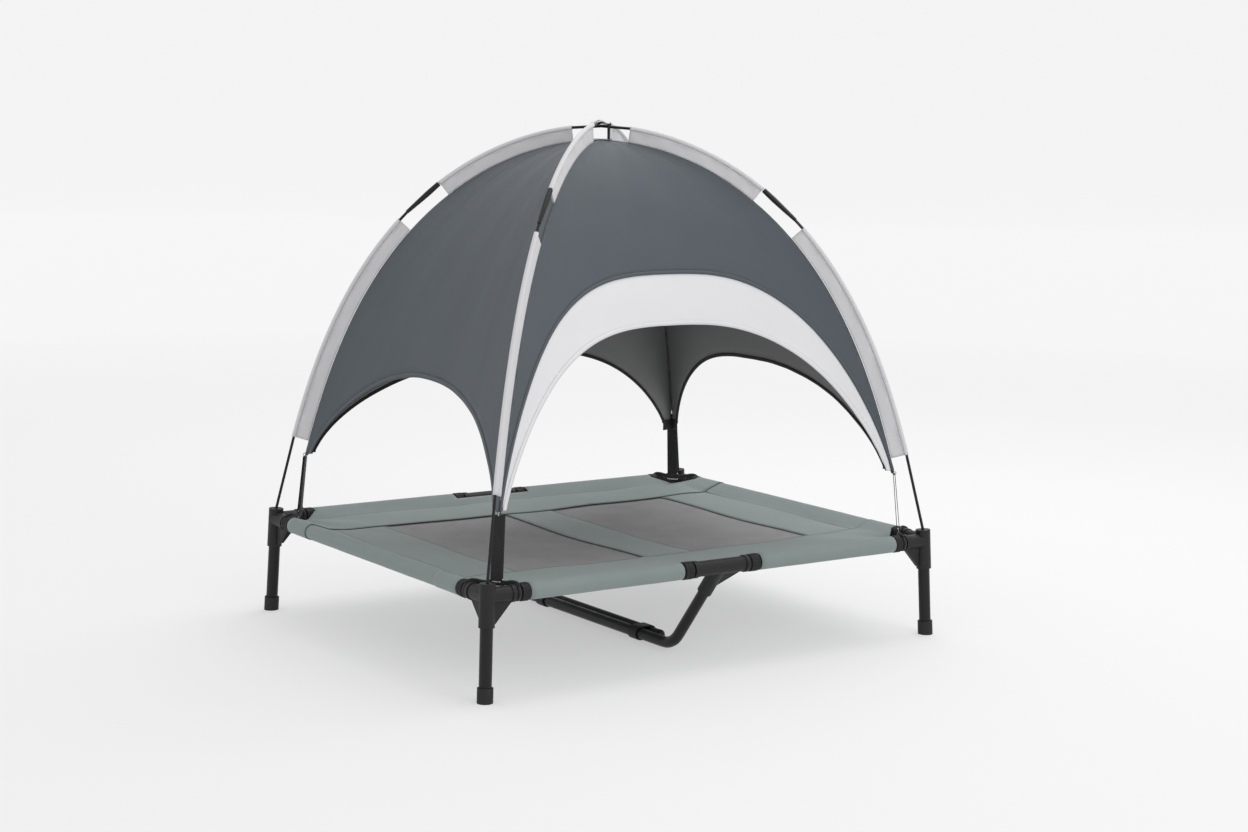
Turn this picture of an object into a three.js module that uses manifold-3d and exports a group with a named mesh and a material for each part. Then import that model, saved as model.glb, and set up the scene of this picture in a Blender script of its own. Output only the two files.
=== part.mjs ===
// Raised dog bed with a steel tube frame and a removable dome canopy on two crossed poles.
// Millimetres, +Z up. Origin: the floor under the middle of the bed.
// X runs along the long side, and the white-banded doorway faces -Y.
import * as THREE from 'three';
import { mergeVertices } from 'three/addons/utils/BufferGeometryUtils.js';
import Module from 'manifold-3d';

const wasm = await Module();
wasm.setup();

// Frame: plan of the four posts, heights and how far the feet stand outside the post tops.
const LENGTH = 890;
const WIDTH = 738;
const POST_TOP = 187;
const SOCKET_BOTTOM = 118;
const RAIL_HEIGHT = 167;
const SPLAY = 7.4;
const GAP = 0.3;

// Tubes and mouldings.
const WALL = 1.2;
const LEG_R = 10.3;
const RAIL_R = 11;
const BORE_R = 11.6;
const ARM_R = 13;
const LIP_R = 14.5;
const ARM_END = 40;
const MOUTH = 47;
const RAIL_START = 17;
const COLLAR_START = 57.5;
const COLLAR_END = 71.5;
const COLLAR_R = 14.2;
const FOOT_R = 13;
const FOOT_HEIGHT = 24;
const TUBE_SIDES = 12;
const ARM_SIDES = 16;

// Centre support: a tee in each long side and two bent legs lying side by side on the floor.
const TEE_HALF = 56;
const TEE_LIP = 8;
const TEE_SOCKET = 60;
const CENTRE_R = 9.75;
const CENTRE_SPREAD = 10.2;
const CENTRE_HEIGHT = 12.3;
const CENTRE_CORNER_Y = 256;
const CENTRE_BEND_R = 50;
const CENTRE_END_Y = 195;
const CLIP_Y = 150;
const CLIP_DEPTH = 24;

// Bed cover.
const SLEEVE_R = 13.5;
const SLEEVE_TIP = 38;
const SLEEVE_START = 73;
const TEE_NOTCH = 79;
const SHEET_EDGE = 30;
const CORNER_CUT = 16;
const SHEET_HEIGHT = 166;
const SHEET_SAG = 9;
const SHEET_THICK = 1.2;
const WINDOW = { inner: 55, outer: 300, half: 225 };

// Canopy poles: the slope grows from level at the crown to BASE_ANGLE at the post.
const BASE_ANGLE = THREE.MathUtils.degToRad(76.6);
const BEND_POWER = 0.926;
const POLE_R = 2.5;
const POLE_PEG = 25;
const POLE_CROSSING = 2.9;
const FERRULE_R = 5;

// Canopy: fabric hangs from the ridges, a fin's width inside the poles.
const FIN_WIDTH = 27;
const FIN_EDGE = 1.7;
const FIN_THICK = 1.2;
const PANEL_THICK = 1;
const PANEL_GAP = 1.2;
const PANEL_COLUMNS = 16;
const SEAM_GAP = 0.0007;
const TAIL_Z = 290;
const CROWN_RADIUS = 14;

const DIAGONAL = Math.hypot(LENGTH, WIDTH) / 2;
const RAIL_X = LENGTH / 2 + SPLAY * (1 - RAIL_HEIGHT / POST_TOP);
const RAIL_Y = WIDTH / 2 + SPLAY * (1 - RAIL_HEIGHT / POST_TOP);
const UP = new THREE.Vector3(0, 0, 1);

// ---------------------------------------------------------------- materials
const material = (color, roughness, metalness) => (
  new THREE.MeshStandardMaterial({ color, roughness, metalness })
);
const MOULDING = material(0x2c2d30, 0.6, 0);
const TUBE = material(0x17181a, 0.4, 0.4);
const RUBBER = material(0x1f2022, 0.75, 0);
const BED_FABRIC = material(0x8a9692, 0.85, 0);
const MESH_FABRIC = material(0x7d7c7b, 0.9, 0);
const CANOPY_FABRIC = material(0x5b6167, 0.8, 0);
const FIN_FABRIC = material(0xb9b9bb, 0.75, 0);
const BAND_FABRIC = material(0xdcdcdc, 0.75, 0);
const FIBREGLASS = material(0x111214, 0.35, 0);
const WEBBING = material(0x141516, 0.85, 0);
const RING_METAL = material(0xb8babd, 0.3, 1);

// ---------------------------------------------------------------- geometry helpers
// Welds a closed geometry, drops flat triangles and turns its faces outward.
function weld(geometry) {
  const bare = geometry.clone();
  bare.deleteAttribute('normal');
  bare.deleteAttribute('uv');
  const merged = mergeVertices(bare, 1e-4);
  const position = merged.getAttribute('position');
  const index = merged.getIndex();
  const triangles = [];
  let volume = 0;
  const corner = [new THREE.Vector3(), new THREE.Vector3(), new THREE.Vector3()];
  for (let i = 0; i < index.count; i += 3) {
    const ids = [index.getX(i), index.getX(i + 1), index.getX(i + 2)];
    if (ids[0] === ids[1] || ids[1] === ids[2] || ids[2] === ids[0]) continue;
    ids.forEach((id, k) => corner[k].fromBufferAttribute(position, id));
    volume += corner[0].dot(corner[1].clone().cross(corner[2]));
    triangles.push(...ids);
  }
  if (volume < 0) {
    triangles.reverse();
  }
  const solid = new THREE.BufferGeometry();
  solid.setAttribute('position', position);
  solid.setIndex(triangles);
  return solid;
}

function toSolid(geometry) {
  const welded = weld(geometry);
  return new wasm.Manifold(new wasm.Mesh({
    numProp: 3,
    vertProperties: Float32Array.from(welded.getAttribute('position').array),
    triVerts: Uint32Array.from(welded.getIndex().array),
  }));
}

function toGeometry(solid) {
  const mesh = solid.getMesh();
  const geometry = new THREE.BufferGeometry();
  geometry.setAttribute('position', new THREE.BufferAttribute(mesh.vertProperties, 3));
  geometry.setIndex(new THREE.BufferAttribute(mesh.triVerts, 1));
  return geometry;
}

function join(shapes) {
  return shapes.map(toSolid).reduce((all, one) => all.add(one));
}

function cut(solid, shapes) {
  return shapes.map(toSolid).reduce((all, one) => all.subtract(one), solid);
}

// Turns a shape built around +Z so that +Z points along direction, and moves it to origin.
function along(geometry, origin, direction) {
  const turn = new THREE.Quaternion().setFromUnitVectors(UP, direction.clone().normalize());
  return geometry.applyQuaternion(turn).translate(origin.x, origin.y, origin.z);
}

// Solid of revolution about +Z from a closed profile of [radius, height] points.
function turned(profile, sides) {
  const points = profile.map(([radius, height]) => new THREE.Vector2(radius, height));
  points.push(points[0].clone());
  return new THREE.LatheGeometry(points, sides).rotateX(Math.PI / 2);
}

function rod(radius, start, end, sides) {
  return turned([[0, start], [radius, start], [radius, end], [0, end]], sides);
}

function tube(outer, inner, start, end, sides) {
  return turned([[inner, start], [outer, start], [outer, end], [inner, end]], sides);
}

// Bends a shape built along +Z: each height h maps to the frame that frameAt(h) returns.
function bend(geometry, frameAt) {
  const bent = weld(geometry);
  const position = bent.getAttribute('position');
  const point = new THREE.Vector3();
  for (let i = 0; i < position.count; i += 1) {
    const { origin, xAxis, yAxis } = frameAt(position.getZ(i));
    point.copy(origin);
    point.addScaledVector(xAxis, position.getX(i));
    point.addScaledVector(yAxis, position.getY(i));
    position.setXYZ(i, point.x, point.y, point.z);
  }
  return bent;
}

// Closed thin sheet: a grid of cells laid on surface(u, v), with u from -1 to 1 and v from 0 to 1.
// Both faces split their cells along the same diagonals, which are mirrored about u = 0.
function sheet(columns, rows, thickness, surface) {
  const stride = columns + 1;
  const under = stride * (rows + 1);
  const points = [];
  for (const face of [0.5, -0.5]) {
    for (let j = 0; j <= rows; j += 1) {
      for (let i = 0; i <= columns; i += 1) {
        const { point, normal } = surface((2 * i) / columns - 1, j / rows);
        points.push(...point.addScaledVector(normal, face * thickness));
      }
    }
  }
  const triangles = [];
  const rim = (p, q) => triangles.push(q, p, p + under, q, p + under, q + under);
  for (let j = 0; j < rows; j += 1) {
    for (let i = 0; i < columns; i += 1) {
      const a = j * stride + i;
      const [b, c, d] = [a + 1, a + 1 + stride, a + stride];
      const halves = i < columns / 2 ? [[a, b, d], [b, c, d]] : [[a, b, c], [a, c, d]];
      for (const [p, q, r] of halves) {
        triangles.push(p, q, r, r + under, q + under, p + under);
      }
      if (j === 0) rim(a, b);
      if (j === rows - 1) rim(c, d);
      if (i === 0) rim(d, a);
      if (i === columns - 1) rim(b, c);
    }
  }
  const geometry = new THREE.BufferGeometry();
  geometry.setAttribute('position', new THREE.Float32BufferAttribute(points, 3));
  geometry.setIndex(triangles);
  return weld(geometry);
}

// Round hole for an extruded outline.
function roundHole(radius, sides) {
  return new THREE.Path(Array.from({ length: sides }, (unused, i) => (
    new THREE.Vector2(radius, 0).rotateAround(new THREE.Vector2(), -2 * Math.PI * i / sides)
  )));
}

// Flat bar between two points, lying on its broad face.
function bar(from, to, width, thickness, overrun) {
  const span = to.clone().sub(from);
  const box = new THREE.BoxGeometry(span.length() + 2 * overrun, width, thickness);
  const xAxis = span.clone().normalize();
  const yAxis = UP.clone().cross(xAxis).normalize();
  const zAxis = xAxis.clone().cross(yAxis);
  const middle = from.clone().add(to).multiplyScalar(0.5);
  return box.applyMatrix4(new THREE.Matrix4().makeBasis(xAxis, yAxis, zAxis).setPosition(middle));
}

const object = new THREE.Group();

function addPart(name, shape, look) {
  const geometry = shape instanceof THREE.BufferGeometry ? weld(shape) : toGeometry(shape);
  geometry.computeVertexNormals();
  const mesh = new THREE.Mesh(geometry, look);
  mesh.name = name;
  object.add(mesh);
}

// ---------------------------------------------------------------- corners
const CORNERS = [
  { name: 'front_left', x: -1, y: -1 },
  { name: 'front_right', x: 1, y: -1 },
  { name: 'back_left', x: -1, y: 1 },
  { name: 'back_right', x: 1, y: 1 },
];

// A point on a post's axis; the posts lean so that the feet stand outside the post tops.
function postPoint(corner, height) {
  const out = SPLAY * (1 - height / POST_TOP);
  return new THREE.Vector3(
    corner.x * (LENGTH / 2 + out),
    corner.y * (WIDTH / 2 + out),
    height,
  );
}

// Inward directions of the two rails at a corner.
function armDirections(corner) {
  return [new THREE.Vector3(-corner.x, 0, 0), new THREE.Vector3(0, -corner.y, 0)];
}

// Triangular web in the vertical plane of a direction, from an outline of [out, up] points.
function web(outline, thickness, origin, direction) {
  const shape = new THREE.Shape(outline.map(([out, up]) => new THREE.Vector2(out, up)));
  const plate = new THREE.ExtrudeGeometry(shape, { depth: thickness, bevelEnabled: false });
  plate.translate(0, 0, -thickness / 2);
  const side = direction.clone().cross(UP);
  const basis = new THREE.Matrix4().makeBasis(direction, UP, side);
  return plate.applyMatrix4(basis.setPosition(origin));
}

function cornerConnector(corner) {
  const foot = postPoint(corner, 0);
  const lean = postPoint(corner, POST_TOP).sub(foot);
  const top = new THREE.Vector3(foot.x, foot.y, 0).addScaledVector(lean, 1);
  const hub = postPoint(corner, RAIL_HEIGHT);
  const arms = armDirections(corner);
  const webOutline = [[4, 0], [ARM_END + 2, -5], [ARM_END + 2, -ARM_R], [ARM_R, -45], [4, -45]];
  const body = join([
    along(rod(ARM_R, SOCKET_BOTTOM, POST_TOP, ARM_SIDES), foot, lean),
    ...arms.map((arm) => along(rod(ARM_R, 0, ARM_END + 1, ARM_SIDES), hub, arm)),
    ...arms.map((arm) => along(rod(LIP_R, ARM_END, MOUTH, ARM_SIDES), hub, arm)),
    ...arms.map((arm) => web(webOutline, 8, hub, arm)),
  ]);
  const poleHole = rod(POLE_R + 0.7, -POLE_PEG - 1, 5, TUBE_SIDES);
  return cut(body, [
    along(rod(LEG_R + 0.5, SOCKET_BOTTOM - 5, 150, ARM_SIDES), foot, lean),
    ...arms.map((arm) => along(rod(BORE_R, RAIL_START - 2, MOUTH + 5, ARM_SIDES), hub, arm)),
    poleHole.translate(top.x, top.y, POST_TOP),
  ]);
}

function legTube(corner) {
  const foot = postPoint(corner, 0);
  const lean = postPoint(corner, POST_TOP).sub(foot);
  return along(tube(LEG_R, LEG_R - WALL, 4.5, 149, TUBE_SIDES), foot, lean);
}

// Rubber cup on the foot of the leg, cut level with the floor.
function footCap(corner) {
  const foot = postPoint(corner, 0);
  const lean = postPoint(corner, POST_TOP).sub(foot);
  const cup = turned([
    [0, -3], [FOOT_R, -3], [FOOT_R, FOOT_HEIGHT], [LEG_R + 0.6, FOOT_HEIGHT], [LEG_R + 0.6, 4], [0, 4],
  ], ARM_SIDES);
  const floor = new THREE.BoxGeometry(60, 60, 20).translate(foot.x, foot.y, -10);
  return cut(toSolid(along(cup, foot, lean)), [floor]);
}

// Elastic band round both arms of a corner, with a straight middle for the strap's hook.
const BAND_LIFT = 13.6;
const BAND_MIDDLE = 16;

function bandPoints(corner) {
  const hub = postPoint(corner, RAIL_HEIGHT);
  const inward = new THREE.Vector3(-corner.x * LENGTH, -corner.y * WIDTH, 0).normalize();
  const sideways = UP.clone().cross(inward).multiplyScalar(corner.x * corner.y);
  const middle = hub.clone().addScaledVector(inward, 44).setZ(RAIL_HEIGHT + BAND_MIDDLE);
  const [armX, armY] = armDirections(corner);
  const wrap = (arm) => hub.clone().addScaledVector(arm, 53.6);
  const lift = new THREE.Vector3(0, 0, BAND_LIFT);
  const nearX = middle.clone().addScaledVector(sideways, -13);
  const nearY = middle.clone().addScaledVector(sideways, 13);
  const ordered = nearX.distanceTo(wrap(armX)) < nearY.distanceTo(wrap(armX));
  const [first, last] = ordered ? [nearX, nearY] : [nearY, nearX];
  return { middle, inward, arms: [armX, armY], route: [
    wrap(armX).add(lift), first, last, wrap(armY).add(lift),
  ] };
}

function cornerBand(corner) {
  const hub = postPoint(corner, RAIL_HEIGHT);
  const { arms, route } = bandPoints(corner);
  const rings = arms.map((arm) => along(tube(13.6, 11.4, 49, 55.6, TUBE_SIDES), hub, arm));
  const flats = route.slice(1).map((point, i) => bar(route[i], point, 6, 1.5, 1.5));
  return join([...rings, ...flats]);
}

for (const corner of CORNERS) {
  addPart(`corner_connector_${corner.name}`, cornerConnector(corner), MOULDING);
  addPart(`leg_tube_${corner.name}`, legTube(corner), TUBE);
  addPart(`foot_cap_${corner.name}`, footCap(corner), RUBBER);
  addPart(`corner_band_${corner.name}`, cornerBand(corner), WEBBING);
}

// ---------------------------------------------------------------- rails and tees
// A rail with the stop collars that hold its fabric sleeve clear of the mouldings.
function rail(length, firstCollar, lastCollar) {
  const stop = (start, end) => [
    [RAIL_R, start], [COLLAR_R, start], [COLLAR_R, end], [RAIL_R, end],
  ];
  return turned([
    [RAIL_R - WALL, 0], [RAIL_R, 0],
    ...stop(...firstCollar),
    ...stop(length - lastCollar[1], length - lastCollar[0]),
    [RAIL_R, length], [RAIL_R - WALL, length],
  ], TUBE_SIDES);
}

const CORNER_COLLAR = [COLLAR_START - RAIL_START, COLLAR_END - RAIL_START];
const TEE_RAIL_END = 6;
const TEE_COLLAR = [59 - TEE_RAIL_END, 76 - TEE_RAIL_END];

for (const [side, y] of [['front', -1], ['back', 1]]) {
  for (const [half, x] of [['left', -1], ['right', 1]]) {
    const start = new THREE.Vector3(x * (RAIL_X - RAIL_START), y * RAIL_Y, RAIL_HEIGHT);
    const length = RAIL_X - RAIL_START - TEE_RAIL_END;
    const shape = rail(length, CORNER_COLLAR, TEE_COLLAR);
    addPart(`${side}_rail_${half}`, along(shape, start, new THREE.Vector3(-x, 0, 0)), TUBE);
  }
}
for (const [side, x] of [['left', -1], ['right', 1]]) {
  const start = new THREE.Vector3(x * RAIL_X, -RAIL_Y + RAIL_START, RAIL_HEIGHT);
  const shape = rail(2 * RAIL_Y - 2 * RAIL_START, CORNER_COLLAR, CORNER_COLLAR);
  addPart(`${side}_rail`, along(shape, start, new THREE.Vector3(0, 1, 0)), TUBE);
}

// Axis of a centre leg: down and inward from the tee, then a bend, then along the floor.
// side is -1 for the front leg and 1 for the back leg.
function centreLeg(side) {
  const tee = new THREE.Vector3(0, side * RAIL_Y, RAIL_HEIGHT);
  const x = side * CENTRE_SPREAD;
  const corner = new THREE.Vector3(x, side * CENTRE_CORNER_Y, CENTRE_HEIGHT);
  const down = corner.clone().sub(tee).normalize();
  const flat = new THREE.Vector3(0, -side, 0);
  const turn = down.angleTo(flat);
  const tangent = CENTRE_BEND_R * Math.tan(turn / 2);
  const straight = corner.distanceTo(tee) - tangent;
  const arc = CENTRE_BEND_R * turn;
  const binormal = down.clone().cross(flat).normalize();
  const run = CENTRE_CORNER_Y - tangent + CENTRE_END_Y;
  const bendStart = tee.clone().addScaledVector(down, straight);
  const frameAt = (distance) => {
    const angle = THREE.MathUtils.clamp((distance - straight) / CENTRE_BEND_R, 0, turn);
    const direction = down.clone().applyAxisAngle(binormal, angle);
    const origin = bendStart.clone();
    if (distance < straight) {
      origin.addScaledVector(down, distance - straight);
    } else {
      const toCentre = binormal.clone().cross(down);
      const radial = toCentre.clone().negate().applyAxisAngle(binormal, angle);
      origin.addScaledVector(toCentre, CENTRE_BEND_R).addScaledVector(radial, CENTRE_BEND_R);
      origin.addScaledVector(flat, Math.max(0, distance - straight - arc));
    }
    return { origin, xAxis: binormal, yAxis: direction.clone().cross(binormal) };
  };
  return { tee, down, straight, arc, end: straight + arc + run, frameAt };
}

const BEND_STEPS = 7;

function centreLegTube(side) {
  const { straight, arc, end, frameAt } = centreLeg(side);
  const heights = [18];
  for (let i = 0; i <= BEND_STEPS; i += 1) {
    heights.push(straight + arc * i / BEND_STEPS);
  }
  const outside = [...heights, end - 12].map((height) => [CENTRE_R, height]);
  const inside = heights.map((height) => [CENTRE_R - WALL, height]);
  const plug = [[10.1, end - 12], [10.1, end - 4], [7, end], [0, end]];
  const bore = [[0, end - 16], [CENTRE_R - WALL, end - 16], ...inside.reverse()];
  return bend(turned([...outside, ...plug, ...bore], TUBE_SIDES), frameAt);
}

function centreTee(side) {
  const { tee, down } = centreLeg(side);
  const alongRail = new THREE.Vector3(1, 0, 0);
  const webSide = new THREE.Vector3(-side, 0, 0);
  const fillet = [[-6, 0], [TEE_HALF - 10, -6], [TEE_HALF - 10, -ARM_R], [ARM_R + 2, -42], [-4, -50]];
  const plate = new THREE.ExtrudeGeometry(
    new THREE.Shape(fillet.map(([out, up]) => new THREE.Vector2(out, up))),
    { depth: 9, bevelEnabled: false },
  ).translate(0, 0, -4.5);
  const upward = down.clone().negate();
  const normal = webSide.clone().cross(upward).normalize();
  const outward = upward.clone().cross(normal).normalize();
  plate.applyMatrix4(new THREE.Matrix4().makeBasis(outward, upward, normal).setPosition(tee));
  const body = join([
    along(rod(ARM_R, -TEE_HALF, TEE_HALF, ARM_SIDES), tee, alongRail),
    along(rod(LIP_R, -TEE_HALF, TEE_LIP - TEE_HALF, ARM_SIDES), tee, alongRail),
    along(rod(LIP_R, TEE_HALF - TEE_LIP, TEE_HALF, ARM_SIDES), tee, alongRail),
    along(rod(ARM_R - 0.3, 0, TEE_SOCKET, ARM_SIDES), tee, down),
    plate,
  ]);
  return cut(body, [
    along(rod(BORE_R, TEE_RAIL_END - 1, TEE_HALF + 5, ARM_SIDES), tee, alongRail),
    along(rod(BORE_R, -TEE_HALF - 5, 1 - TEE_RAIL_END, ARM_SIDES), tee, alongRail),
    along(rod(CENTRE_R + 0.6, RAIL_START, TEE_SOCKET + 5, ARM_SIDES), tee, down),
  ]);
}

// Ring with straight sides that holds the two centre legs together.
function legClip(side) {
  const outline = (shape, radius) => {
    shape.absarc(CENTRE_SPREAD, 0, radius, -Math.PI / 2, Math.PI / 2, false);
    shape.absarc(-CENTRE_SPREAD, 0, radius, Math.PI / 2, 1.5 * Math.PI, false);
    return shape;
  };
  const ring = outline(new THREE.Shape(), CENTRE_HEIGHT);
  ring.holes.push(outline(new THREE.Path(), CENTRE_R + GAP));
  const clip = new THREE.ExtrudeGeometry(ring, {
    depth: CLIP_DEPTH, bevelEnabled: false, curveSegments: 5,
  });
  clip.rotateX(Math.PI / 2);
  return clip.translate(0, side * CLIP_Y + CLIP_DEPTH / 2, CENTRE_HEIGHT);
}

for (const [name, side] of [['front', -1], ['back', 1]]) {
  addPart(`centre_tee_${name}`, centreTee(side), MOULDING);
  addPart(`centre_leg_${name}`, centreLegTube(side), TUBE);
  addPart(`leg_clip_${name}`, legClip(side), MOULDING);
}

// ---------------------------------------------------------------- bed cover
// The sheet sags a little towards the middle.
function sheetHeight(x, y) {
  const acrossX = 1 - (x / (LENGTH / 2 - SHEET_EDGE)) ** 2;
  const acrossY = 1 - (y / (WIDTH / 2 - SHEET_EDGE)) ** 2;
  return SHEET_HEIGHT - SHEET_SAG * Math.max(0, acrossX) * Math.max(0, acrossY);
}

function bedSheet(x0, x1, y0, y1, columns, rows) {
  return sheet(columns, rows, SHEET_THICK, (u, v) => {
    const x = (x0 + x1) / 2 + u * (x1 - x0) / 2;
    const y = y0 + v * (y1 - y0);
    return { point: new THREE.Vector3(x, y, sheetHeight(x, y)), normal: UP };
  });
}

// Teardrop sleeve round a rail, drawn to a point where the sheet leaves it.
function sleeve(middle, length, inward) {
  const tangent = Math.acos(SLEEVE_R / SLEEVE_TIP);
  const shape = new THREE.Shape();
  shape.moveTo(SLEEVE_TIP, -1.4);
  shape.lineTo(SLEEVE_TIP, -0.6);
  shape.absarc(0, 0, SLEEVE_R, tangent, 2 * Math.PI - tangent, false);
  shape.holes.push(roundHole(RAIL_R + 0.8, TUBE_SIDES));
  const body = new THREE.ExtrudeGeometry(shape, {
    depth: length, bevelEnabled: false, curveSegments: 6,
  }).translate(0, 0, -length / 2);
  const basis = new THREE.Matrix4().makeBasis(inward, UP, inward.clone().cross(UP));
  return body.applyMatrix4(basis.setPosition(middle));
}

function bedCover() {
  const halfX = LENGTH / 2 - SHEET_EDGE;
  const halfY = WIDTH / 2 - SHEET_EDGE;
  const longSleeve = RAIL_X - SLEEVE_START - TEE_NOTCH;
  const longMiddle = (RAIL_X - SLEEVE_START + TEE_NOTCH) / 2;
  const sleeves = [];
  for (const side of [-1, 1]) {
    const inwardY = new THREE.Vector3(0, -side, 0);
    for (const half of [-1, 1]) {
      const middle = new THREE.Vector3(half * longMiddle, side * RAIL_Y, RAIL_HEIGHT);
      sleeves.push(sleeve(middle, longSleeve, inwardY));
    }
    const inwardX = new THREE.Vector3(-side, 0, 0);
    const middle = new THREE.Vector3(side * RAIL_X, 0, RAIL_HEIGHT);
    sleeves.push(sleeve(middle, 2 * (RAIL_Y - SLEEVE_START), inwardX));
  }
  const cover = join([bedSheet(-halfX, halfX, -halfY, halfY, 8, 6), ...sleeves]);
  const windowWidth = WINDOW.outer - WINDOW.inner;
  const windows = [-1, 1].map((side) => (
    new THREE.BoxGeometry(windowWidth, 2 * WINDOW.half, 40)
      .translate(side * (WINDOW.outer + WINDOW.inner) / 2, 0, SHEET_HEIGHT - 8)
  ));
  const cornerCuts = CORNERS.map((corner) => {
    const block = new THREE.BoxGeometry(CORNER_CUT * Math.SQRT2, CORNER_CUT * Math.SQRT2, 8);
    return block.rotateZ(Math.PI / 4).translate(corner.x * halfX, corner.y * halfY, SHEET_HEIGHT);
  });
  return cut(cover, [...windows, ...cornerCuts]);
}

addPart('bed_cover', bedCover(), BED_FABRIC);
for (const [name, side] of [['left', -1], ['right', 1]]) {
  const near = side * (WINDOW.inner + GAP);
  const far = side * (WINDOW.outer - GAP);
  const half = WINDOW.half - GAP;
  const panel = bedSheet(Math.min(near, far), Math.max(near, far), -half, half, 3, 6);
  addPart(`mesh_panel_${name}`, panel, MESH_FABRIC);
}

// ---------------------------------------------------------------- pole and seam curves
const CURVE_STEPS = 400;

function unitPole() {
  const stations = [{ run: 0, drop: 0, angle: 0 }];
  for (let i = 1; i <= CURVE_STEPS; i += 1) {
    const last = stations[i - 1];
    const angle = BASE_ANGLE * Math.sin(Math.PI * i / (2 * CURVE_STEPS)) ** BEND_POWER;
    const middle = (angle + last.angle) / 2;
    stations.push({
      run: last.run + Math.cos(middle) / CURVE_STEPS,
      drop: last.drop + Math.sin(middle) / CURVE_STEPS,
      angle,
    });
  }
  return stations;
}

const UNIT_POLE = unitPole();
const POLE_LENGTH = DIAGONAL / UNIT_POLE[CURVE_STEPS].run;
const POLE_RISE = POLE_LENGTH * UNIT_POLE[CURVE_STEPS].drop;
const CROWN_Z = POST_TOP + POLE_RISE;

// Distance out from the crown, height and slope at a fraction 0 (crown) to 1 (post) of the pole.
function poleAt(fraction) {
  const place = Math.min(fraction, 1) * CURVE_STEPS;
  const low = Math.min(Math.floor(place), CURVE_STEPS - 1);
  const mix = (key) => THREE.MathUtils.lerp(UNIT_POLE[low][key], UNIT_POLE[low + 1][key], place - low);
  return {
    r: POLE_LENGTH * mix('run'),
    z: CROWN_Z - POLE_LENGTH * mix('drop'),
    angle: mix('angle'),
  };
}

function seamAt(fraction) {
  const { r, z, angle } = poleAt(fraction);
  return {
    r: r - FIN_WIDTH * Math.sin(angle),
    z: z - FIN_WIDTH * Math.cos(angle),
    angle,
  };
}

// Fraction at which measure(fraction) reaches a value, where measure grows with the fraction.
function fractionWhere(measure, value) {
  let low = 0;
  let high = 1;
  for (let i = 0; i < 40; i += 1) {
    const middle = (low + high) / 2;
    if (measure(middle) < value) {
      low = middle;
    } else {
      high = middle;
    }
  }
  return (low + high) / 2;
}

const poleFractionAtRadius = (radius) => fractionWhere((f) => poleAt(f).r, radius);
const seamFractionAtRadius = (radius) => fractionWhere((f) => seamAt(f).r, radius);
const seamFractionAtHeight = (height) => fractionWhere((f) => -seamAt(f).z, -height);

// ---------------------------------------------------------------- canopy panels
const CROWN_FRACTION = seamFractionAtRadius(CROWN_RADIUS);
const SEAM_TOP = seamAt(0).z;

// The panels are level from ridge to ridge at their edges and bow inward at mid-span.
const LONG_BOW = { depth: 54, span: 306 };
const SHORT_BOW = { depth: 25, span: 402 };

// Arches: height of the peak, how far the ends stand towards the ridge, and how full they are.
const SIDES = {
  front: { out: [0, -1], bow: LONG_BOW },
  right: { out: [1, 0], bow: SHORT_BOW },
  back: { out: [0, 1], bow: LONG_BOW },
  left: { out: [-1, 0], bow: SHORT_BOW },
};
const ARCHES = {
  band: { peak: 637, end: 0.987, power: 2.96, fullness: 0.86 },
  doorway: { peak: 552.6, end: 0.964, power: 2.82, fullness: 0.88 },
  short: { peak: 455, end: 0.932, power: 2.58, fullness: 0.757 },
  back: { peak: 458, end: 0.93, power: 2.3, fullness: 0.84 },
};

function canopySide(name) {
  const { out, bow } = SIDES[name];
  const outDir = new THREE.Vector3(out[0], out[1], 0);
  const alongDir = UP.clone().cross(outDir);
  const halfAlong = out[0] === 0 ? LENGTH / 2 : WIDTH / 2;
  const halfOut = out[0] === 0 ? WIDTH / 2 : LENGTH / 2;
  const halfSpan = (fraction) => halfAlong * seamAt(fraction).r / DIAGONAL;
  // Point at a share -1..1 of the way from ridge to ridge.
  const surface = (share, fraction) => {
    const { r, z, angle } = seamAt(fraction);
    const scale = r / DIAGONAL;
    const depth = bow.depth * Math.min(1, (SEAM_TOP - z) / bow.span) ** 0.75;
    const point = new THREE.Vector3(0, 0, z);
    point.addScaledVector(alongDir, share * (halfAlong * scale - PANEL_GAP));
    point.addScaledVector(outDir, halfOut * scale - depth * (1 - share * share));
    const normal = outDir.clone().multiplyScalar(Math.sin(angle));
    normal.addScaledVector(UP, Math.cos(angle) * halfOut / DIAGONAL).normalize();
    return { point, normal };
  };
  // Lower edge of cloth: share of the half span and fraction of the ridge at arch position t.
  const edge = (arch, position) => {
    const reach = Math.abs(position) / arch.end;
    const full = reach < 1 ? (1 - reach ** arch.power) ** arch.fullness : 0;
    const fraction = seamFractionAtHeight(TAIL_Z + (arch.peak - TAIL_Z) * full);
    const foot = halfSpan(seamFractionAtHeight(TAIL_Z));
    return { fraction, share: Math.min(1, Math.max(-1, position * foot / halfSpan(fraction))) };
  };
  return { surface, edge };
}

// Columns across an arch stand closer together where it climbs steeply.
function spread(position) {
  return Math.sign(position) * (1 - (1 - Math.abs(position)) ** 1.5);
}

// The outermost column on each side is the ridge itself.
function archPosition(column, columns, end) {
  if (column === 0 || column === columns) {
    return column === 0 ? -1 : 1;
  }
  return end * spread(-1 + 2 * (column - 1) / (columns - 2));
}

function canopyPanel(name, arch, columns, rows) {
  const { surface, edge } = canopySide(name);
  return sheet(columns, rows, PANEL_THICK, (u, v) => {
    const column = Math.round((u + 1) / 2 * columns);
    const low = edge(arch, archPosition(column, columns, arch.end));
    return surface(low.share, THREE.MathUtils.lerp(low.fraction, CROWN_FRACTION, v));
  });
}

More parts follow.
